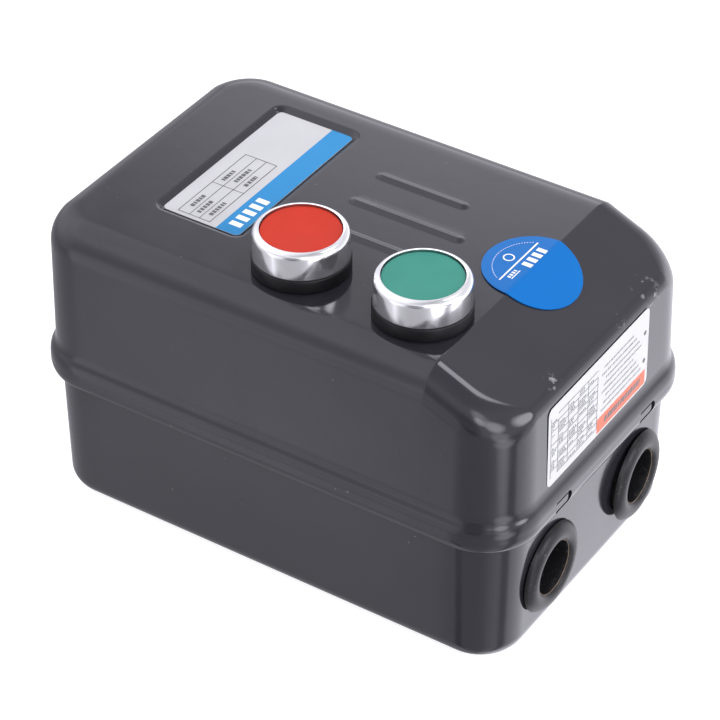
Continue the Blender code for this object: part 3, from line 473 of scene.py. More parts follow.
def shell(name, size, rings, stations, columns, drop, relief, replaced, body):
    """A drawn tray of sheet steel: its flat face as a grid, then its walls ring by ring."""
    half_w, half_l, radius = size
    flat_w = half_w - radius
    bm = bmesh.new()
    loops = []
    for ring in rings:
        right = []
        for first, y in ((-90, -half_l + radius), (0, half_l - radius)):
            for step in range(CORNER_STEPS + 1):
                facing = first + 90 * step / CORNER_STEPS
                a = radians(facing)
                reach = radius - ring(facing)[0]
                right.append((flat_w + reach * cos(a), y + reach * sin(a), *ring(facing)[1:]))
            if first == -90:
                right += [(half_w - ring(0)[0], station, *ring(0)[1:]) for station in stations]
        near, far = ring(-90), ring(90)
        points = ([(flat_w * c, -half_l + near[0], *near[1:]) for c in columns] + right
                  + [(-flat_w * c, half_l - far[0], *far[1:]) for c in columns]
                  + [(-x, *rest) for x, *rest in reversed(right)])
        loops.append([bm.verts.new((x, y, z - share * drop(y))) for x, y, z, share in points])
    count, rows, across = len(loops[0]), len(right), len(columns)
    for upper, lower in zip(loops, loops[1:]):
        for i in range(count):
            j = (i + 1) % count
            bm.faces.new((upper[i], lower[i], lower[j], upper[j]))
    top = loops[0]
    lines = []
    for k in range(rows):
        left, last = top[count - 1 - k], top[across + k]
        if k == 0:
            middle = top[:across]
        elif k == rows - 1:
            middle = top[across + rows:2 * across + rows][::-1]
        else:
            y = last.co.y
            middle = []
            for c in columns:
                x = c * last.co.x
                middle.append(bm.verts.new((x, y, last.co.z + relief(x, y))))
        lines.append([left] + middle + [last])
    for line, following in zip(lines, lines[1:]):
        for i in range(len(line) - 1):
            bm.faces.new((line[i], line[i + 1], following[i + 1], following[i]))
    solid = ("SOLIDIFY", {"thickness": SHEET, "offset": -1.0, "use_even_offset": True})
    return piece(name, bm, "dark_grey_paint", body, (replaced,), modifiers=(solid,))


def level(inset, z, share=0.0):
    """A ring with the same inset all round."""
    return lambda facing: (inset, z, share)


def cover_edge_radius(facing):
    """Radius of the front's edge, which tightens round the corners towards each end; facing in degrees."""
    sides, near_end, far_end = COVER_EDGE_R
    end = near_end if facing < 0 else far_end
    return sides + (end - sides) * abs(facing / 90) ** 3


def cover_skin():
    """The cover: front and edges, the upright wall, then the rim's bead; its holes are cut last."""
    def lean(z):
        return -(FRONT_Z - z) * tan(DRAFT)

    def edge(a):
        def ring(facing):
            radius = cover_edge_radius(facing)
            z = FRONT_Z - radius * (1 - sin(a))
            return (radius * (1 - cos(a)) + lean(z), z, 1.0)
        return ring
    rings = [edge(radians(90 - 90 * step / 18)) for step in range(19)]
    rings.append(level(lean(0.0625), 0.0625, 0.12))
    rings.append(level(lean(0.0592), 0.0592))
    bead = [(0.0580, 0.0), (0.0562, 0.20), (0.0544, 0.75), (0.0526, 1.0), (0.0507, 1.03), (0.0488, 1.0),
            (0.0469, 0.68), (0.0458, -0.10)]
    for z, bulge in curve_through(bead, 4):
        rings.append(level(lean(z) - RIM_BULGE * bulge, z))
    grid_w = COVER[0] - COVER_EDGE_R[0]
    grid_l = COVER[1] - COVER[2]
    fine_y = [(CREASE_Y - 0.0008, CREASE_Y + 0.0010, 0.00018)]
    fine_y += [(edge - 0.0028, edge + 0.0028, 0.0004) for edge in PLATE_Y]
    fine_y += [(y - 0.0005, y + 0.0024, 0.0004) for y, _ in RIB_Y] + [(0.0056, 0.0092, 0.0004)]
    fine_x = [(edge - 0.0028, edge + 0.0028, 0.0004) for edge in PLATE_X]
    fine_x += [(x - 0.0022, x + 0.0022, 0.0003) for x in RIB_X]
    stations = stops(-grid_l, grid_l, 0.0024, fine_y)
    columns = [x / grid_w for x in stops(-grid_w, grid_w, 0.0024, fine_x)]
    obj = shell("cover_skin", COVER, rings, stations, columns, chamfer_drop, pressed, "cover_shell", "cover")
    holes = [rod((BUTTON_X, y, FRONT_Z), (0, 0, 1), PANEL_HOLE_R, -0.006, 0.004) for y in BUTTONS.values()]
    for x in WINDOW_X:
        radius = (WINDOW_Z[1] - WINDOW_Z[0]) / 2
        small = 0.0005
        outline = (arc(x[0] + small, WINDOW_Z[0] + small, small, 180, 270, 4)
                   + arc(x[1] - radius, WINDOW_Z[0] + radius, radius, -90, 90, 14)
                   + arc(x[0] + small, WINDOW_Z[1] - small, small, 90, 180, 4))
        holes.append(prism(bmesh.new(), outline, -0.092, -0.0815, lambda a, b, c: (a, c, b)))
    holes.append(rod((0, 0.084, COVER_SCREW_Z), (0, 1, 0), 0.0023, -0.006, 0.006, 32))
    carve(obj, *holes)


def base_wall_y(z):
    return BASE[1] - (BASE_TOP_Z - z) * tan(DRAFT)


def base_skin():
    """The base, with its cable entries, screw holes, tongues' cuts and the cover screw's slot."""
    rings = []
    for step in range(15):
        a = radians(90 - 90 * step / 14)
        z = BASE_EDGE_R * (1 - sin(a))
        rings.append(level(BASE_EDGE_R * (1 - cos(a)) + (BASE_TOP_Z - z) * tan(DRAFT), z))
    rings.append(level(0.0, BASE_TOP_Z))
    obj = shell("base_skin", BASE, rings, stops(-0.066, 0.066, 0.012, []), [-0.6, -0.2, 0.2, 0.6],
                lambda y: 0.0, lambda x, y: 0.0, "base_tray", "base")
    holes = []
    for side in (-1, 1):
        for end in (-1, 1):
            wall = base_wall_y(CABLE_Z)
            holes.append(rod((side * CABLE_X, 0, CABLE_Z), (0, end, 0), CABLE_HOLE_R, wall - 0.006,
                             wall + 0.006, 64))
            holes.append(rod((side * MOUNT_HOLE[0], end * MOUNT_HOLE[1], 0), (0, 0, 1), MOUNT_HOLE[2],
                             -0.003, 0.004))
    holes.append(rod((*EARTH_XY, 0), (0, 0, 1), 0.0024, -0.003, 0.004))
    for x in RAIL_SCREW_X:
        holes.append(rod((x, CONTACTOR[1], 0), (0, 0, 1), 0.0018, -0.003, 0.004))
    for x0, x1 in WINDOW_X:
        tongue = [(x0 + 0.0010, 0.0506), (x1 - 0.0021, 0.0506), (x1 - 0.0021, 0.0470),
                  (x1 - 0.0012, 0.0470), (x1 - 0.0012, 0.0514), (x0 + 0.0010, 0.0514)]
        holes.append(prism(bmesh.new(), tongue, -0.086, -0.078, lambda a, b, c: (a, c, b)))
    slot = bar((-0.0025, 0.0025), (0.0480, 0.0600))
    holes.append(prism(bmesh.new(), slot, 0.078, 0.086, lambda a, b, c: (a, c, b)))
    carve(obj, *holes)


def hook_tongues():
    """The lanced tongues of the base that reach out into the cover's windows."""
    bm = bmesh.new()
    wall = -base_wall_y(0.050)
    face = wall - 0.0030
    height = (WINDOW_Z[0] + 0.0001, WINDOW_Z[1] - 0.0013)
    for x0, x1 in WINDOW_X:
        outline = rounded_rectangle((x0 + 0.0003, x1 - 0.0010), height, 0.0006, 6)
        prism(bm, outline, wall, face, lambda a, b, c: (a, c, b))
    piece("hook_tongues", bm, "dark_grey_paint", "base",
          modifiers=(eased(0.0003, 3, 50),))


# -------------------- labels
def flat_place(height):
    """Points on a sheet that lies on the cover's front at this height."""
    return lambda a, b, c: (a, b, height + c)


def bent_place(a, b, c):
    """Points on the film over the crease, b along the length."""
    return (a, b, FRONT_Z - chamfer_drop(b) + 0.0002 + c)


def wall_place(a, b, c):
    """Points on the label of the cable end, b upwards; the label is stuck on a little askew."""
    z = b + (a + 0.0300) * 0.016
    return (a, -COVER[1] - (FRONT_Z - z) * tan(DRAFT) - 0.00003 - c, z)


def line(x0, y0, x1, y1, width=0.00022):
    """A printed line, along either axis."""
    half = width / 2
    return bar((min(x0, x1) - half, max(x0, x1) + half), (min(y0, y1) - half, max(y0, y1) + half))


def greeked(rng, x, y, height, slant=0.0, long=(0.5, 1.6)):
    """A row of blank dashes that stands for a line of print, from x[0] to x[1] at y; long in millimetres."""
    dashes = []
    at = x[0]
    lean = slant * height
    while at < x[1] - 0.4 * MM:
        end = min(x[1], at + rng.uniform(*long) * MM)
        dashes.append([(at, y), (end, y), (end + lean, y + height), (at + lean, y + height)])
        at = end + rng.uniform(0.25, 0.55) * MM
    return dashes


def printed(name, outlines, place, material, low=0.03, high=0.055, body="cover"):
    """Ink as thin closed islands just above a label; low and high in millimetres."""
    bm = bmesh.new()
    for outline in outlines:
        prism(bm, outline, low * MM, high * MM, place)
    piece(name, bm, material, body)


def rating_plate():
    """White film with a blue strip along one side, and an empty table."""
    top = FRONT_Z - POCKET_DEPTH + 0.00022
    inset = 0.0001
    x0, x1 = PLATE_X[0] + inset, PLATE_X[1] - inset
    y0, y1 = PLATE_Y[0] + inset, PLATE_Y[1] - inset
    radius = 0.0017
    film = prism(bmesh.new(), rounded_rectangle((x0, x1), (y0, y1), radius), top - 0.0002, top)
    piece("rating_film", film, "label_film", "cover", ("rating_plate",), modifiers=(eased(0.00005),))
    place = flat_place(top)
    strip = (arc(x0 + radius, y0 + radius, radius - 0.00004, 180, 270, 8)
             + arc(x1 - radius, y0 + radius, radius - 0.00004, -90, 0, 8) + [(x1, 0.0350), (x0, 0.0350)])
    printed("rating_strip", [strip], place, "ink_blue", 0.01, 0.03)
    x0, x1, xm = -0.0249, 0.0107, -0.0071
    rows = (0.0382, 0.0420, 0.0457, 0.0498)
    grid = [line(x0, y, x1, y) for y in rows] + [line(x, rows[0], x, rows[-1]) for x in (x0, xm, x1)]
    printed("rating_table", grid, place, "ink_black")
    rng = random.Random(11)
    marks = []
    for low in rows[:-1]:
        for first in (x0, xm):
            start = first + rng.uniform(0.0022, 0.0040)
            span = (start, start + rng.uniform(0.006, 0.009))
            marks += greeked(rng, span, low + 0.0012, 0.0014, 0.0, (0.7, 1.3))
    printed("rating_entries", marks, place, "ink_grey")
    blank = [bar((x, x + 0.0021), (0.0288, 0.0330)) for x in (-0.0225, -0.0190, -0.0155, -0.0120, -0.0085)]
    printed("rating_strip_marks", blank, place, "ink_white")


def power_sticker():
    """A round film folded over the crease: an arc of dots, a plain ring, and blank marks."""
    centre_x, radius, thick = 0.0067, 0.0155, 0.0003
    columns, rows = 40, 64
    bm = bmesh.new()
    sheets = []
    for height in (0.0, thick):
        lines = []
        for i in range(rows + 1):
            across = -radius * cos(pi * i / rows)
            y = CREASE_Y + (across if across > 0 else across * cos(CHAMFER_SLOPE))
            half = sqrt(max(radius ** 2 - across ** 2, 4e-8))
            lines.append([bm.verts.new(bent_place(centre_x + half * (2 * j / columns - 1), y, height))
                          for j in range(columns + 1)])
        sheets.append(lines)
    low, high = sheets
    for i in range(rows):
        for j in range(columns):
            bm.faces.new((high[i][j], high[i][j + 1], high[i + 1][j + 1], high[i + 1][j]))
            bm.faces.new((low[i][j], low[i + 1][j], low[i + 1][j + 1], low[i][j + 1]))
        for j in (0, columns):
            bm.faces.new((low[i][j], high[i][j], high[i + 1][j], low[i + 1][j]))
    for i in (0, rows):
        for j in range(columns):
            bm.faces.new((low[i][j], low[i][j + 1], high[i][j + 1], high[i][j]))
    piece("sticker_film", bm, "blue_film", "cover", ("power_sticker",))

    def place(a, b, c):
        return bent_place(centre_x + a, CREASE_Y + b, c + thick)
    art = [line(-0.0108, 0.0052, 0.0108, 0.0052, 0.0005)]
    art += [arc(*dot, 0.00017, 0, 300, 5) for dot in arc(0.0, 0.0, 0.0123, 32, 148, 30)]
    ring = arc(0.0, 0.0086, 0.0018, 0, 360, 24)
    inner = arc(0.0, 0.0086, 0.0014, 0, 360, 24)
    for (a, b), (c, d) in zip(zip(ring, ring[1:]), zip(inner, inner[1:])):
        art.append([a, b, d, c])
    art.append(line(-0.0086, 0.00245, -0.0040, 0.00245, 0.0003))
    art += greeked(random.Random(5), (-0.0086, -0.0038), 0.0030, 0.0011, 0.0, (0.5, 0.8))
    printed("sticker_art", art, place, "ink_white")
    lower = [bar((x, x + 0.0017), (0.0006, 0.0038)) for x in (-0.0010, 0.0018, 0.0046, 0.0074)]
    printed("sticker_marks", lower, place, "ink_white")


def end_label():
    """White film with a table, rows of notes and an orange strip, all without words."""
    thick = 0.00009
    outline = rounded_rectangle((-0.0318, 0.0272), (0.0583, 0.0868), 0.0022)
    film = prism(bmesh.new(), outline, 0.0, thick, wall_place)
    piece("end_film", film, "label_film", "cover", ("end_label",), modifiers=(eased(0.00004),))

    def place(a, b, c):
        return wall_place(a, b, c + thick)
    printed("end_strip", [bar((-0.0031, 0.0258), (0.0590, 0.0643))], place, "ink_orange", 0.01, 0.03)
    rng = random.Random(23)
    strip_marks = greeked(rng, (0.0010, 0.0225), 0.0606, 0.0022, 0.3, (0.9, 1.5))
    printed("end_strip_marks", strip_marks, place, "ink_grey", 0.035, 0.05)
    fine = []
    for k in range(8):
        span = (-0.0010 + 0.0012 * (k % 3), 0.0232 - 0.0016 * (k % 4))
        fine += greeked(rng, span, 0.0660 + 0.0022 * k, 0.0006, 0.4, (0.25, 0.8))
    printed("end_notes", fine, place, "ink_pale")
    bullets = [arc(0.0249, z, 0.0008, 0, 345, 23) for z in (0.0783, 0.0680)]
    left, right = -0.0302, -0.0034
    uprights = (left, -0.0262, -0.0205, -0.0148, -0.0090, right)
    pitch = 0.0024
    levels = [0.0612 + pitch * k for k in range(10)]
    grid = [line(x, levels[0], x, levels[-1] - pitch * (k % 2), 0.00020) for k, x in enumerate(uprights)]
    grid += [line(left if k % 3 else uprights[1], z, right, z, 0.00018) for k, z in enumerate(levels)]
    printed("end_table", grid + bullets, place, "ink_grey")
    cells = []
    for k, low in enumerate(levels[:-1]):
        for j, (x0, x1) in enumerate(zip(uprights, uprights[1:])):
            if (k + 2 * j) % 5:
                for row in (low + 0.0005, low + 0.0014)[:1 + (k + j) % 2]:
                    span = (x0 + 0.0006, x1 - rng.uniform(0.0008, 0.0026))
                    cells += greeked(rng, span, row, 0.00048, 0.2, (0.25, 0.6))
    printed("end_table_entries", cells, place, "ink_black")


# -------------------- push buttons
def push_button(prefix, y):
    """A head with its rubber collar, chromed bezel and dished cap, and what hangs under it."""
    centre = (BUTTON_X, y, 0.0)
    bore = PANEL_HOLE_R - 0.00005
    low, high, r = FRONT_Z + 0.0003, FRONT_Z + 0.0047, 0.0149
    collar = ([(bore, low), (r - 0.0004, low)] + arc(r - 0.0003, low + 0.0003, 0.0003, -60, 0, 3)
              + arc(r - 0.0006, high - 0.0006, 0.0006, 0, 90, 5) + [(bore, high)])
    piece(prefix + "_collar_ring", turned(collar, centre), "collar_rubber", "cover", (prefix + "_collar",))

    low, top, r = FRONT_Z + 0.0048, FRONT_Z + 0.0134, 0.0147
    cap_edge = 0.0125
    ledge = top - 0.0070
    # the rim rolls over the flank in a full round
    bezel = ([(r - 0.0003, low)] + arc(r - 0.0003, low + 0.0003, 0.0003, -90, 0, 4)
             + arc(r - 0.00235, top - 0.0021, 0.0021, 0, 90, 14)
             + [(cap_edge, top - 0.0007), (cap_edge, ledge), (0.0094, ledge), (0.0094, 0.0900),
                (0.0040, 0.0890), (0.0040, 0.0860), (0.0108, 0.0860), (0.0108, low)])
    piece(prefix + "_bezel_ring", turned(bezel, centre, sides=128), "chrome_plate", "cover",
          (prefix + "_bezel",), smooth=50.0)

    face = top - 0.0006
    r = 0.0122
    dish = [(0.0, face - 0.00018), (0.004, face - 0.00015), (0.008, face - 0.00006), (r - 0.0012, face)]
    cap = (dish + arc(r - 0.0004, face - 0.0004, 0.0004, 90, 0, 5)
           + [(r, face - 0.0018), (0.0090, face - 0.0018), (0.0090, face - 0.0080), (0.0026, face - 0.0080),
              (0.0026, 0.0840), (0.0, 0.0840)])
    plastic = {"stop": "red_plastic", "start": "green_plastic"}[prefix]
    piece(prefix + "_cap_disc", turned(cap, centre), plastic, prefix + "_button", (prefix + "_cap",))
    rounded(prefix + "_lock_nut", 0.0004)
    spring(prefix + "_spring", centre, 0.0066, 0.0903, 0.1071)
    contact_block(prefix, y)


def contact_block(prefix, y):
    """The switch under a button: moulding, plunger, and its two clamp screws."""
    rounded(prefix + "_contact_block", 0.0004)
    rounded(prefix + "_plunger", 0.0003)
    screws = bmesh.new()
    for end in (-1, 1):
        clamp_screw(screws, (BUTTON_X + 0.0090, y + end * 0.0163, 0.0655), 0.0026)
    piece(prefix + "_block_screws", screws, "zinc_steel", "cover")


# -------------------- springs, leads and screws
def spring(node, centre, radius, low, high):
    """A wound wire with closed ends."""
    wire = 0.0005
    turns = 5.5
    steps = int(turns * 28)
    points = []
    for i in range(steps + 1):
        t = i / steps
        rise = 0.06 * smoothstep(t / 0.16) + 0.88 * min(1, max(0, (t - 0.1) / 0.8)) \
            + 0.06 * smoothstep((t - 0.84) / 0.16)
        angle = 2 * pi * turns * t
        points.append(Vector((centre[0] + radius * cos(angle), centre[1] + radius * sin(angle),
                              low + wire + (high - low - 2 * wire) * rise)))
    obj = piece(node + "_wire", tube(points, wire, 10), "spring_steel", BODY_OF[node], (node,))
    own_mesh(obj)


# routes of the control leads, from end to end
LEAD_ROUTES = {
    "start_lead": [(-0.0195, -0.0560, 0.0690), (-0.0130, -0.0562, 0.0688), (-0.0095, -0.0570, 0.0640),
                   (-0.0085, -0.0590, 0.0540), (-0.0075, -0.0620, 0.0450), (-0.0040, -0.0645, 0.0400),
                   (0.0005, -0.0645, 0.0383), (0.0025, -0.0625, 0.0379), (0.0025, -0.0602, 0.0379)],
    "stop_lead": [(-0.0195, 0.0170, 0.0690), (-0.0130, 0.0175, 0.0688), (-0.0100, 0.0200, 0.0640),
                  (-0.0095, 0.0260, 0.0540), (-0.0095, 0.0380, 0.0440), (-0.0100, 0.0500, 0.0380),
                  (-0.0095, 0.0570, 0.0355), (-0.0075, 0.0600, 0.0345), (-0.0049, 0.0603, 0.0345)],
    "bridge_lead": [(-0.0195, -0.0250, 0.0690), (-0.0130, -0.0250, 0.0688), (-0.0105, -0.0230, 0.0675),
                    (-0.0100, -0.0195, 0.0670), (-0.0105, -0.0160, 0.0675), (-0.0130, -0.0140, 0.0688),
                    (-0.0195, -0.0140, 0.0690)],
    "coil_lead": [(0.0335, -0.0602, 0.0379), (0.0335, -0.0630, 0.0379), (0.0365, -0.0655, 0.0372),
                  (0.0410, -0.0640, 0.0355), (0.0440, -0.0580, 0.0330), (0.0445, -0.0400, 0.0300),
                  (0.0445, 0.0000, 0.0290), (0.0445, 0.0400, 0.0310), (0.0442, 0.0550, 0.0335),
                  (0.0425, 0.0595, 0.0345), (0.0409, 0.0603, 0.0345)],
}


def leads():
    """The control leads; the two that cross to the cover ride on no body, and stay where they lie at rest."""
    for node, route in LEAD_ROUTES.items():
        wire = tube(curve_through(route, 10), 0.0010, 14)
        obj = piece(node + "_wire", wire, SLOT_OF[node], BODY_OF[node], (node,))
        if node in ("start_lead", "stop_lead"):
            obj.parent = None
            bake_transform(obj)


def clamp_screw(bm, centre, radius, axis=(0, 0, 1)):
    """A pan head with a cross recess, built up as rings; it starts at the centre and looks along the axis."""
    height = 0.62 * radius
    turn = Vector(axis).to_track_quat("Z", "Y").to_matrix()
    profile = ([(0.0, -0.3 * height), (radius, -0.3 * height), (radius, 0.35 * height)]
               + [(radius * cos(a), height * (0.35 + 0.65 * sin(a)))
                  for a in (radians(d) for d in (15, 35, 55, 72))])
    rings = []
    sides = 48
    for r, h in profile + [(0.20 * radius, height), (0.0, height)]:
        ring = []
        for k in range(sides if r > 0 else 1):
            a = 2 * pi * k / sides
            x, y = r * cos(a), r * sin(a)
            in_recess = min(abs(x), abs(y)) < 0.16 * radius and h > 0.6 * height and r < 0.62 * radius
            deep = 0.45 * height if in_recess else 0.0
            ring.append(bm.verts.new(Vector(centre) + turn @ Vector((x, y, h - deep))))
        rings.append(ring)
    for ring, following in zip(rings, rings[1:]):
        bridge(bm, ring, following)


def screw_piece(node, head_r, axis=(0, 0, 1), washer=False):
    """The visible screw for a CAD screw: the same seat and head size, with a driver recess."""
    low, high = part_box(node)
    middle = (low + high) / 2
    if axis == (0, 0, 1):
        seat = Vector((middle.x, middle.y, high.z - 0.62 * head_r))
    else:
        seat = Vector((middle.x, high.y - 0.62 * head_r, middle.z))
    depth = min(0.5 * head_r, seat.z - low.z)
    bm = turned([(0.0, 0.30 * head_r), (0.97 * head_r, 0.30 * head_r), (0.97 * head_r, 0.0),
                 (0.45 * head_r, 0.0), (0.45 * head_r, -depth), (0.0, -depth)], seat, axis, 48)
    clamp_screw(bm, seat, head_r, axis)
    if washer:
        half = 0.0036
        plate = rounded_rectangle((seat.x - half, seat.x + half), (seat.y - half, seat.y + half), 0.0007, 4)
        prism(bm, plate, low.z + 0.0006, seat.z + 0.0001)
    piece(node + "_head", bm, "zinc_steel", BODY_OF[node], (node,))


def screws():
    for node in sorted(frame["nodes"]):
        if node.startswith(("line_screw", "load_screw", "coil_screw", "relay_screw")):
            screw_piece(node, 0.0034, washer=True)
    for node, head_r in (("rail_screw_1", 0.0026), ("rail_screw_2", 0.0026), ("earth_screw", 0.0042)):
        screw_piece(node, head_r)
    screw_piece("cover_screw", 0.0040, (0, 1, 0))
    rounded("cover_nut", 0.0003)


# -------------------- grommets
def grommet(node, x, end, tilt=0.0):
    """A soft rubber lip round the hole, with a thin line of moulding flash at its mouth."""
    lip = [(0.0079, -7.5 * MM), (0.0083, -2.0 * MM), (0.0086, 1.0 * MM), (0.0090, 2.3 * MM),
           (0.0101, 3.1 * MM), (0.0117, 3.24 * MM), (0.0132, 2.7 * MM), (0.0143, 1.8 * MM),
           (0.01485, 0.8 * MM)]
    inner = [(0.0143, 0.5 * MM), (0.0122, 0.5 * MM), (0.0122, -2.7 * MM), (0.0142, -2.7 * MM),
             (0.0134, -4.6 * MM), (0.0099, -7.5 * MM)]
    profile = [tuple(p) for p in curve_through(lip, 5)] + inner
    proud = CABLE_HOLE_R * sin(tilt) * 0.8
    wall = Vector((x, end * (base_wall_y(CABLE_Z) + proud), CABLE_Z))
    axis = Vector((sin(tilt), end * cos(tilt), 0))
    piece(node + "_rubber", turned(profile, wall, axis, 72), "black_rubber", "base", (node,))
    flash = [(0.00888 + 0.00010 * cos(a), 0.0021 + 0.00010 * sin(a))
             for a in (pi * k / 3 for k in range(6))]
    piece(node + "_flash", turned(flash, wall, axis, 72), "flash", "base")


# -------------------- inside the box
def numeral(name, text, place, size):
    """A terminal or dial number, as thin raised print."""
    curve = bpy.data.curves.new(name, "FONT")
    curve.body = text
    curve.size = size
    curve.extrude = 0.00003
    curve.align_x = "CENTER"
    curve.align_y = "CENTER"
    obj = bpy.data.objects.new(name, curve)
    obj.location = place
    bpy.context.scene.collection.objects.link(obj)
    curve.materials.append(MATERIALS["ink_white"])
    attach(obj, "base")


def contactor():
    """The contactor's mouldings and magnet, with grooves, a blank label and terminal numbers on its head."""
    cx, cy = CONTACTOR
    rounded("contactor_base", 0.0006)
    grooves = []
    for side in (-1, 1):
        for k in range(3):
            y = cy + side * (0.0105 + 0.0022 * k)
            groove = bar((cx - 0.0160, cx + 0.0160), (y - 0.0005, y + 0.0005))
            grooves.append(prism(bmesh.new(), groove, 0.0850, 0.0860))
    rounded("contactor_head", 0.0005, grooves)
    rounded("contact_carrier", 0.0004)
    rounded("fixed_core", 0.0002)
    rounded("moving_core", 0.0002)
    rounded("magnet_coil", 0.0012)
    rounded("mounting_rail", 0.00025)
    spring("armature_spring", (cx, cy), 0.0081, 0.0280, 0.0387)
    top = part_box("contactor_head")[1].z
    panel = rounded_rectangle((cx + 0.0098, cx + 0.0208), (cy - 0.0080, cy + 0.0080), 0.0008)
    film = prism(bmesh.new(), panel, top + 0.00002, top + 0.0003)
    piece("contactor_label", film, "label_film", "base", modifiers=(eased(0.0001),))
    marks = [bar((cx + 0.0108, cx + 0.0198), (y, y + 0.0009))
             for y in (cy - 0.0060, cy - 0.0030, cy + 0.0030, cy + 0.0052)]
    printed("contactor_label_marks", marks, flat_place(top + 0.0003), "ink_grey", 0.01, 0.04, "base")
    for k in range(3):
        x = cx + (k - 1.5) * 0.0108
        numeral(f"line_number_{k + 1}", str(2 * k + 1), (x, cy - 0.0150, top + 0.00003), 0.0030)
        numeral(f"load_number_{k + 1}", str(2 * k + 2), (x, cy + 0.0150, top + 0.00003), 0.0030)


def relay():
    """The overload relay: its case, prongs and keys, and the current dial in its numbered scale."""
    dial = (CONTACTOR[0] + 0.0110, 0.0330)
    rounded("overload_case", 0.0006)
    for k in range(3):
        rounded(f"overload_prong_{k + 1}", 0.0002)
    top = 0.0720
    ticks = []
    for k in range(11):
        a = radians(-135 + 27 * k + 90)
        direction = Vector((cos(a), sin(a)))
        side = Vector((-sin(a), cos(a))) * 0.00012
        start = Vector(dial) + direction * 0.0072
        end = start + direction * (0.0016 if k % 5 == 0 else 0.0009)
        ticks.append([start - side, end - side, end + side, start + side])
    printed("dial_scale", ticks, flat_place(top), "ink_white", 0.02, 0.06, "base")
    for number, turn in (("12", -45), ("15", 90), ("18", 225)):
        a = radians(turn)
        place = (dial[0] + 0.0100 * cos(a), dial[1] + 0.0100 * sin(a), top + 0.00003)
        numeral("dial_number_" + number, number, place, 0.0022)
    for node in ("reset_key", "trip_key"):
        rounded(node, 0.0003)
    slot = bar((dial[0] - 0.0048, dial[0] + 0.0048), (dial[1] - 0.0007, dial[1] + 0.0007))
    face = 0.0728
    profile = ([(0.0, face)] + arc(0.0055, face - 0.0007, 0.0007, 90, 0, 5)
               + [(0.0064, 0.0716), (0.0064, 0.0671), (0.0, 0.0671)])
    knob = piece("current_dial_knob", turned(profile, (*dial, 0), sides=64), "cream_plastic", "dial",
                 ("current_dial",))
    carve(knob, prism(bmesh.new(), slot, 0.0716, 0.0740))
    arrow = [(dial[0] - 0.0009, dial[1] + 0.0022), (dial[0] + 0.0009, dial[1] + 0.0022),
             (dial[0], dial[1] + 0.0046)]
    printed("dial_arrow", [arrow], flat_place(face), "ink_black", 0.02, 0.08, "dial")


# -------------------- studio
VIEW = (-146.84, 37.66, 0.9541)         # azimuth from +X and elevation in degrees, distance
TARGET = Vector((-0.0006, 0.0003, 0.0497))
LENS = 154.1
# light of the sweep below the horizon: azimuth in degrees from +X, level
AROUND = ((-180, 0.46), (-152, 0.48), (-140, 0.58), (-126, 0.85), (-112, 1.00), (-106, 0.80), (-100, 0.42),
          (-90, 0.42), (-81, 1.35), (-60, 1.8), (-30, 2.10), (0, 1.5), (25, 0.85), (60, 0.50), (120, 0.62),
          (137, 0.74), (142, 0.98), (145, 1.18), (149, 1.00), (156, 0.64), (166, 0.50), (179, 0.46))
# light above it: elevation in degrees, level
SKY = ((0, 1.1), (24, 0.90), (35, 0.78), (47, 0.98), (60, 0.66), (90, 0.50))
# soft panels: azimuth, elevation, inner and outer angle in degrees, strength; the last two are dark flags
PANELS = ((27, 23, 9.0, 15.5, 1.5), (-32, 61, 6.0, 9.0, 5.5), (281, 23, 10.0, 16.5, 6.0),
          (100, 50, 12.0, 45.0, 0.9), (242, 0, 8.0, 15.0, 1.6), (242, 24, 7.0, 14.0, 4.0),
          (229, 42, 5.0, 12.0, 2.2), (223, 31, 4.0, 9.0, 4.0), (247, -22, 8.0, 19.0, 1.9),
          (155, -8, 9.0, 22.0, 0.45), (195, 12, 14.0, 24.0, -0.7), (153, -50, 5.0, 12.5, -0.45))
TINT = (0.985, 0.975, 1.06)             # colour of all that light


def compass(azimuth, elevation):
    """The direction at this azimuth, from +X towards +Y, and elevation; both in degrees."""
    a, e = radians(azimuth), radians(elevation)
    return Vector((cos(a) * cos(e), sin(a) * cos(e), sin(e)))


def camera():
    back = compass(VIEW[0], VIEW[1])
    data = bpy.data.cameras.new("camera")
    data.sensor_width = 36.0
    data.lens = LENS
    obj = bpy.data.objects.new("camera", data)
    obj.location = TARGET + back * VIEW[2]
    obj.rotation_euler = (-back).to_track_quat("-Z", "Y").to_euler()
    bpy.context.scene.collection.objects.link(obj)
    bpy.context.scene.camera = obj


def softbox(name, direction, distance, size, radiance):
    """A soft light that looks at the object; its power follows from the radiance of its face."""
    data = bpy.data.lights.new(name, "AREA")
    data.shape = "RECTANGLE"
    data.size, data.size_y = size
    data.energy = radiance * pi * size[0] * size[1]
    obj = bpy.data.objects.new(name, data)
    towards = Vector(direction).normalized()
    obj.location = Vector((0, 0, 0.05)) + towards * distance
    obj.rotation_euler = (-towards).to_track_quat("-Z", "Y").to_euler()
    obj.visible_glossy = False
    bpy.context.scene.collection.objects.link(obj)


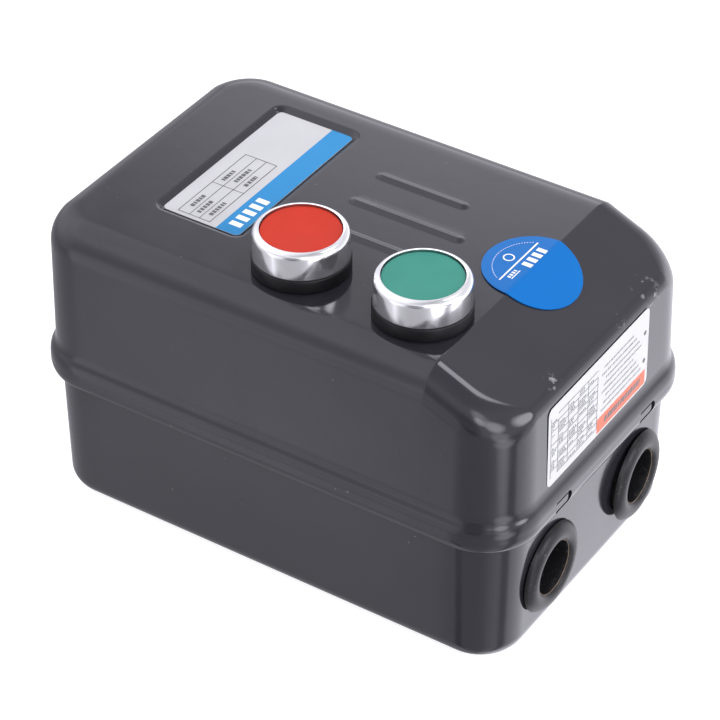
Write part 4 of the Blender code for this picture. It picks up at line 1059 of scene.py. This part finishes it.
def studio_world():
    """What the paint mirrors: a sweep, brightest past the cable end, a dim ceiling, and soft panels."""
    world = bpy.data.worlds.new("studio")
    world.use_nodes = True
    tree = world.node_tree
    place = add(tree, "ShaderNodeTexCoord").outputs["Generated"]
    parts = add(tree, "ShaderNodeSeparateXYZ", {"Vector": place})
    turn = add(tree, "ShaderNodeMath", {0: parts.outputs["Y"], 1: parts.outputs["X"]}, operation="ARCTAN2")
    round_share = spread(tree, turn.outputs[0], -pi, pi)
    around = add(tree, "ShaderNodeValToRGB", {"Fac": round_share})
    ramp = around.color_ramp
    for azimuth, brightness in AROUND:
        stop = ramp.elements.new((azimuth + 180) / 360)
        stop.color = grey(brightness)
    ramp.elements.remove(ramp.elements[-1])
    ramp.elements.remove(ramp.elements[0])
    upwards = add(tree, "ShaderNodeValToRGB", {"Fac": spread(tree, parts.outputs["Z"], 0.0, 1.0)})
    ramp = upwards.color_ramp
    ramp.elements[0].color = grey(SKY[0][1])
    ramp.elements[1].color = grey(SKY[-1][1])
    for elevation, brightness in SKY[1:-1]:
        stop = ramp.elements.new(sin(radians(elevation)))
        stop.color = grey(brightness)
    above = spread(tree, parts.outputs["Z"], -0.12, 0.12)
    light = mix(tree, above, around.outputs["Color"], upwards.outputs["Color"])
    for azimuth, elevation, inner, outer, strength in PANELS:
        facing = vector(tree, "DOT_PRODUCT", place, compass(azimuth, elevation)).outputs["Value"]
        low, high = cos(radians(outer)), cos(radians(inner))
        share = spread(tree, facing, low, high, 0.0, strength)
        light = vector(tree, "ADD", light, share).outputs["Vector"]
    light = vector(tree, "MULTIPLY", light, TINT).outputs["Vector"]
    background = tree.nodes["Background"]
    tree.links.new(light, background.inputs["Color"])
    background.inputs["Strength"].default_value = 1.0
    bpy.context.scene.world = world


def paper(name, bm, glow):
    """A pale sheet of the studio, unseen in reflections."""
    obj = as_object(name, bm)
    obj.data.materials.append(surface(name + "_paper", (0.45, 0.45, 0.45), 0.8, tone=(0.99, 1.01),
                                      tone_scale=3.0, Emission_Color=(1, 1, 1, 1), Emission_Strength=glow))
    obj.visible_glossy = False
    return obj


def floor():
    bm = bmesh.new()
    bmesh.ops.create_grid(bm, x_segments=1, y_segments=1, size=6.0)
    paper("floor", bm, 0.80).location.z = -0.0002


def backdrop():
    """A white dome far behind everything, seen only by the camera."""
    bm = bmesh.new()
    bmesh.ops.create_uvsphere(bm, u_segments=64, v_segments=32, radius=5.9)
    dome = paper("backdrop", bm, 1.0)
    dome.data.materials[0].cycles.emission_sampling = "NONE"
    dome.visible_diffuse = False
    dome.visible_transmission = False
    dome.visible_shadow = False


def studio():
    camera()
    studio_world()
    floor()
    backdrop()
    softbox("overhead_light", (0.10, -0.25, 0.95), 1.3, (0.70, 0.70), 1.25)
    softbox("front_light", (-0.15, -0.95, 0.40), 1.3, (0.60, 0.50), 0.6)
    softbox("left_light", (-0.90, 0.10, 0.40), 1.3, (0.50, 0.50), 0.7)
    bpy.context.scene.view_settings.view_transform = "Standard"


studio()
cover_skin()
base_skin()
hook_tongues()
rating_plate()
power_sticker()
end_label()
for prefix, y in BUTTONS.items():
    push_button(prefix, y)
for end, side_name in ((-1, "line"), (1, "load")):
    grommet(f"grommet_{side_name}_left", -CABLE_X, end)
    grommet(f"grommet_{side_name}_right", CABLE_X, end, radians(3) if side_name == "line" else 0.0)
contactor()
relay()
screws()
leads()
